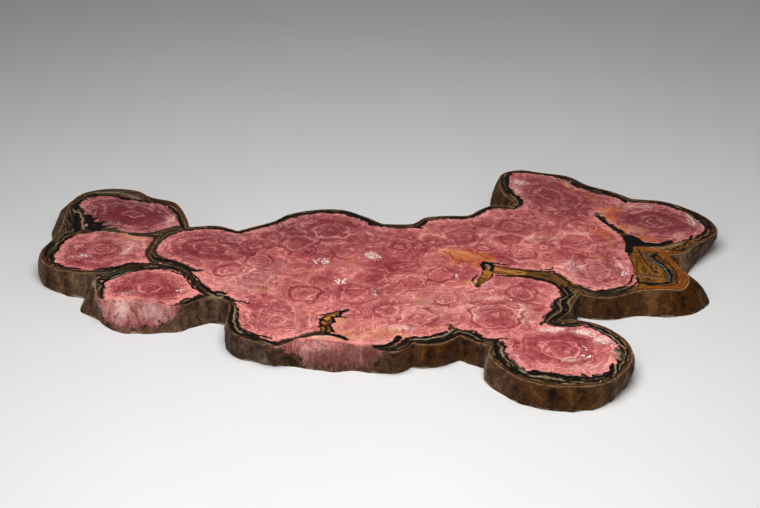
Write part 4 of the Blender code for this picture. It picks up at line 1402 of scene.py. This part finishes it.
@dataclass
class StoneSlice:
    """The dressed slice: two patterned cut faces and a rough wall, in one closed mesh.

    Args:
        face_grid: The spacing of the upper face's points.
        base_grid: The spacing of the lower face's points.
        bevel: How far the sharp upper edge is worn back.
        margin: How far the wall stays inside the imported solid's box.
        thin: The half width up to which a vein gets points of its own.
        seed: Where the small rosettes' random places start.
        trials: How many places are tried for them.
    """

    face_grid: float = 0.62
    base_grid: float = 1.3
    bevel: float = 0.2
    margin: float = 0.002
    thin: float = 1.0
    seed: int = 11
    trials: int = 2600
    outline: SliceOutline = field(default_factory=SliceOutline)
    faces: list[tuple[int, ...]] = field(default_factory=list)
    regions: list[Region] = field(default_factory=list)

    def small_rosettes(self, edge: Array, belt: Array) -> tuple[Rosette, ...]:
        """Scatter faint small rosettes over the ground that has none.

        Args:
            edge: The sawn edge.
            belt: The rim's measures along it.

        Returns:
            The rosettes, always the same ones.
        """
        rng = np.random.default_rng(self.seed)
        trials = rng.uniform((-118, -75, 0, 0), (118, 75, 1, 1), (self.trials, 4))
        gap, line, _ = distance_to_course(trials[:, :2], closed(edge))
        kept: list[Rosette] = []
        within = inside(trials[:, :2], edge)
        for (x, y, a, b), space, width, ok in zip(trials, gap, belt[line, WIDTH], within):
            reach = 4.0 + 3.6 * a
            if not ok or space < width + reach * 0.8 \
                    or any(math.hypot(x - r.x, y - r.y) < reach * 0.7
                           + r.reach * (1.25 if r.fitted else 0.62) for r in ROSETTES) \
                    or any(math.hypot(x - r.x, y - r.y) < (r.reach + reach) * 0.85 for r in kept):
                continue
            kept.append(Rosette(x, y, reach * 0.22, reach * 0.42, reach * 0.62, reach,
                                1.0 + 0.7 * b, 180.0 * (b - 0.5), 0.25 + 0.45 * a * a))
        return tuple(kept)

    def along_veins(self, spots: Array, spacing: float) -> Array:
        """Add points along the middle of each thin vein to a face's points.

        Args:
            spots: The face's even points, as rows of x, y.
            spacing: The distance between points.

        Returns:
            The even points that aren't too close to a vein, and the added ones.
        """
        lines = [np.array(v.course, float) for some in VEINS.values() for v in some
                 if v.half_width < self.thin]
        course = np.vstack([start + (end - start) * t for line in lines
                            for start, end in zip(line, line[1:])
                            for t in np.arange(0.0, 1.0, spacing / max(math.dist(start, end),
                                                                       spacing))])
        first = np.unique(np.round(course / (spacing * 0.45)), axis=0, return_index=True)[1]
        course = added = course[np.sort(first)]
        for _ in range(3):
            added = course - (wander(added) - added)
        wandered = wander(spots)
        crowded = np.zeros(len(spots), bool)
        for line in lines:
            some = near(wandered, line, 1.0)
            crowded[some] |= distance_to_course(wandered[some], line)[0] < spacing * 0.5
        return np.vstack([spots[~crowded], added])

    def add_face(self, edge: Array, spacing: float, start: int, region: Region) -> Pair:
        """Fill an outline with triangles.

        Args:
            edge: The outline's points.
            spacing: The distance between the points inside it.
            start: The number of its first point in the whole mesh.
            region: Which of the two cut faces it is.

        Returns:
            The mesh's numbers of the outline's points, and all its points as rows of x, y.
        """
        low, high = edge.min(axis=0), edge.max(axis=0)
        ys = np.arange(low[1], high[1], spacing * math.sqrt(3) / 2)
        x, y = np.meshgrid(np.arange(low[0], high[0], spacing), ys)
        x = x + ((np.arange(len(ys)) % 2) * spacing / 2)[:, None]
        spots = np.column_stack([x.ravel(), y.ravel()])
        if region is Region.FACE:
            spots = self.along_veins(spots, spacing)
        spots = spots[inside(spots, edge)]
        spots = spots[distance_to_course(spots, closed(edge))[0] > spacing * 0.55]
        count = len(edge)
        verts, _, tris, origin, _, _ = delaunay_2d_cdt(
            [Vector(p) for p in np.vstack([edge, spots])],
            [(i, (i + 1) % count) for i in range(count)], [], 1, 1e-6)
        number = {source: k for k, sources in enumerate(origin) for source in sources}
        flat = np.array([(v.x, v.y) for v in verts])
        for a, b, c in tris:
            (ux, uy), (vx, vy) = flat[b] - flat[a], flat[c] - flat[a]
            if (ux * vy - uy * vx > 0) != (region is Region.FACE):
                b, c = c, b
            self.faces.append((a + start, b + start, c + start))
            self.regions.append(region)
        return np.array([number[i] + start for i in range(count)]), flat

    def add_wall(self, top: Array, bottom: Array, broken: Array, start: int) -> Pair:
        """Loft the rough wall between the two cut faces.

        Args:
            top: The mesh's numbers of the upper outline's points.
            bottom: The same for the lower outline.
            broken: How much bare pink stone there is at each point of the outline.
            start: The number of its first point in the whole mesh.

        Returns:
            The wall's points, and how far each stands out.
        """
        outward = self.outline.outward()
        count = len(top)
        low, high = (np.array(corner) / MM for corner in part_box(NODE))
        points, relief_shades, numbers = [], [], [top]
        for k, height in enumerate(self.outline.heights):
            ring = self.outline.at(height)
            ring[:, 2] = height
            growth = min(1.0, (THICKNESS - height) / 1.6) * min(1.0, 0.35 + height / 1.6)
            skin = grain(ring * (1, 1, 0.6), (0.26, 3.0, 21.0), spread=3.17) \
                + grain(ring, (0.10, 1.3, 22.0), spread=3.17)
            shear = grain(ring * (1, 1, 1.5), (0.34, 1.8, 23.0), spread=3.17) \
                + grain(ring, (0.14, 0.8, 24.0), spread=3.17)
            relief = (skin * (1 - broken) + shear * broken) * growth
            ring[:, :2] = np.clip(ring[:, :2] + outward * relief[:, None],
                                  low[:2] + self.margin, high[:2] - self.margin)
            points.append(ring)
            # How far the wall stands out; the skin's colour turns it into painted shade in the
            # hollows.
            relief_shades.append(relief / 0.4)
            numbers.append(np.arange(count) + start + k * count)
        for upper, lower in zip(numbers, [*numbers[1:], bottom]):
            self.faces += [tuple(int(n) for n in quad) for quad in
                           zip(upper, lower, np.roll(lower, -1), np.roll(upper, -1))]
            self.regions += [Region.WALL] * count
        return np.vstack(points), np.concatenate(relief_shades)

    def build(self, solid: bpy.types.Object) -> bpy.types.Object:
        """Build the whole piece.

        Args:
            solid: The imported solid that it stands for.

        Returns:
            The dressed piece.
        """
        self.outline.read(solid)
        edge, base_edge = self.outline.rings[0][:, :2], self.outline.rings[-1][:, :2]
        belt = rim_belt(edge)
        pattern = FacePattern(edge, belt, self.small_rosettes(edge, belt))
        wear = self.bevel * (0.8 + grain(edge, (0.6, 2.2, 31.0)))
        worn = edge - self.outline.outward() * wear[:, None]
        top, face = self.add_face(worn, self.face_grid, 0, Region.FACE)
        rings = len(self.outline.heights)
        bottom, base = self.add_face(base_edge, self.base_grid, len(face) + rings * len(top),
                                     Region.BASE)
        wall, relief_shades = self.add_wall(top, bottom, belt[:, PINK], len(face))
        spots = wall[:, :2]
        wall_fields = pattern.rings(spots, np.full(len(spots), 1.0)) | pattern.body(spots)
        wall_fields |= {"depth": np.full(len(spots), -9.0), "relief_shade": relief_shades,
                        "warmth": np.tile(belt[:, WARMTH], rings),
                        "pink": np.tile(belt[:, PINK], rings)}
        base_fields = FacePattern(base_edge, belt, pattern.extra).measure(base)
        fields = {name: np.concatenate([
            values, wall_fields.get(name, np.zeros((len(spots), *values.shape[1:]))),
            base_fields[name]]) for name, values in pattern.measure(face).items()}
        points = np.vstack([np.column_stack([face, np.full(len(face), THICKNESS)]), wall,
                            np.column_stack([base, np.zeros(len(base))])])
        return self.mesh(points, fields)

    def mesh(self, points: Array, fields: Fields) -> bpy.types.Object:
        """Make the Blender mesh and dress it.

        Args:
            points: Its points in millimetres.
            fields: The named values of the points.

        Returns:
            The dressed piece.
        """
        data = bpy.data.meshes.new(PIECE)
        data.from_pydata([tuple(p) for p in points * MM], [], self.faces)
        data.polygons.foreach_set("material_index", self.regions)
        data.polygons.foreach_set("use_smooth", [part is Region.WALL for part in self.regions])
        for name, values in fields.items():
            kind, key = ("FLOAT", "value") if values.ndim == 1 else ("FLOAT_VECTOR", "vector")
            layer = data.attributes.new(name, kind, "POINT")
            layer.data.foreach_set(key, np.ascontiguousarray(values, np.float32).ravel())
        for finish in (CutFaceFinish(CutSurface.POLISHED, 0.16, 0.26, 0.00004),
                       CutFaceFinish(CutSurface.SAWN, 0.62, 0.66, 0.00010), WallFinish()):
            data.materials.append(finish.make())
        data.update()
        return place_object(PIECE, data)


# ---------------------------------------------------------------- the studio


@dataclass(frozen=True)
class SoftLight:
    """One square soft light: where it hangs, what it faces, its size and its power."""

    name: str
    place: Triple
    target: Triple
    size: float
    power: float
    colour: Triple = (1.0, 1.0, 1.0)

    def hang(self) -> None:
        """Hang the light."""
        lamp = bpy.data.lights.new(self.name, "AREA")
        lamp.size, lamp.energy, lamp.color = self.size, self.power, self.colour
        holder = place_object(self.name, lamp)
        holder.location = self.place
        aim = Vector(self.target) - Vector(self.place)
        holder.rotation_euler = aim.to_track_quat("-Z", "Y").to_euler()


@dataclass(frozen=True)
class Studio:
    """A pale floor, soft lights and the camera.

    Args:
        distance: From the camera to the middle of the slice, in metres.
        elevation: How far above the horizon the camera stands, in degrees.
        lens: The camera's focal length in millimetres.
        sensor: The width of its sensor in millimetres.
        aim: How far behind the frame's middle it points, in metres.
        floor: The floor's side, in metres.
        air: How strongly the room itself glows.
        lights: The soft lights.
    """

    distance: float = 0.558
    elevation: float = 28.5
    lens: float = 74.98
    sensor: float = 36.0
    aim: float = 0.008
    floor: float = 6.0
    air: float = 0.05
    lights: tuple[SoftLight, ...] = (
        SoftLight("key_light", (-0.01, -0.17, 0.34), (-0.01, -0.03, 0.0), 0.26, 1.56,
                  (1.0, 0.985, 0.96)),
        SoftLight("fill_light", (-0.55, -0.8, 0.45), (0.0, 0.0, 0.0), 0.5, 1.3),
        SoftLight("side_light", (0.8, 0.1, 0.5), (0.0, 0.0, 0.0), 0.5, 0.6),
    )

    def build(self) -> None:
        """Set up the floor, the lights, the camera and the picture's tone."""
        self.lay_floor()
        for light in self.lights:
            light.hang()
        self.set_camera()
        scene = bpy.context.scene
        scene.view_settings.view_transform = "Standard"
        scene.world = bpy.data.worlds.new("studio_air")
        scene.world.use_nodes = True
        glow = scene.world.node_tree.nodes["Background"].inputs
        glow[0].default_value = (0.9, 0.93, 1.0, 1.0)
        glow[1].default_value = self.air

    def lay_floor(self) -> None:
        """Lay the plain pale floor under the slice."""
        half = self.floor / 2
        data = bpy.data.meshes.new("floor")
        data.from_pydata([(-half, -half, 0), (half, -half, 0), (half, half, 0), (-half, half, 0)],
                         [], [(0, 1, 2, 3)])
        floor = place_object("floor", data)
        g = Material("pale_floor")
        clouds = g.place().noise(60.0)
        tone = clouds.between((226, 227, 229), (234, 234, 235))
        data.materials.append(g.finish(tone, 0.7, clouds, 0.0001, 0.1))

    def set_camera(self) -> None:
        """Stand the camera in front of the slice, looking down on it."""
        tilt = math.radians(self.elevation)
        data = bpy.data.cameras.new("camera")
        data.lens, data.sensor_width, data.clip_start = self.lens, self.sensor, 0.01
        camera = place_object("camera", data)
        camera.location = (0.0, self.aim - self.distance * math.cos(tilt),
                           THICKNESS * MM + self.distance * math.sin(tilt))
        camera.rotation_euler = (math.pi / 2 - tilt, 0.0, 0.0)
        bpy.context.scene.camera = camera


def clear_scene() -> None:
    """Remove whatever the file holds before the frame comes in."""
    for leftover in list(bpy.data.objects):
        bpy.data.objects.remove(leftover, do_unlink=True)


def main() -> None:
    """Load the frame, set the studio, and dress the slice."""
    logging.basicConfig(level=logging.INFO, format="%(message)s")
    clear_scene()
    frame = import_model()
    Studio().build()
    LOG.info("studio: floor, lights and camera are in place")
    piece = StoneSlice().build(frame["nodes"][NODE])
    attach(piece, "root")
    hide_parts(NODE)
    LOG.info("slice: %d points, %d faces", len(piece.data.vertices), len(piece.data.polygons))
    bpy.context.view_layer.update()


if __name__ == "__main__":
    main()
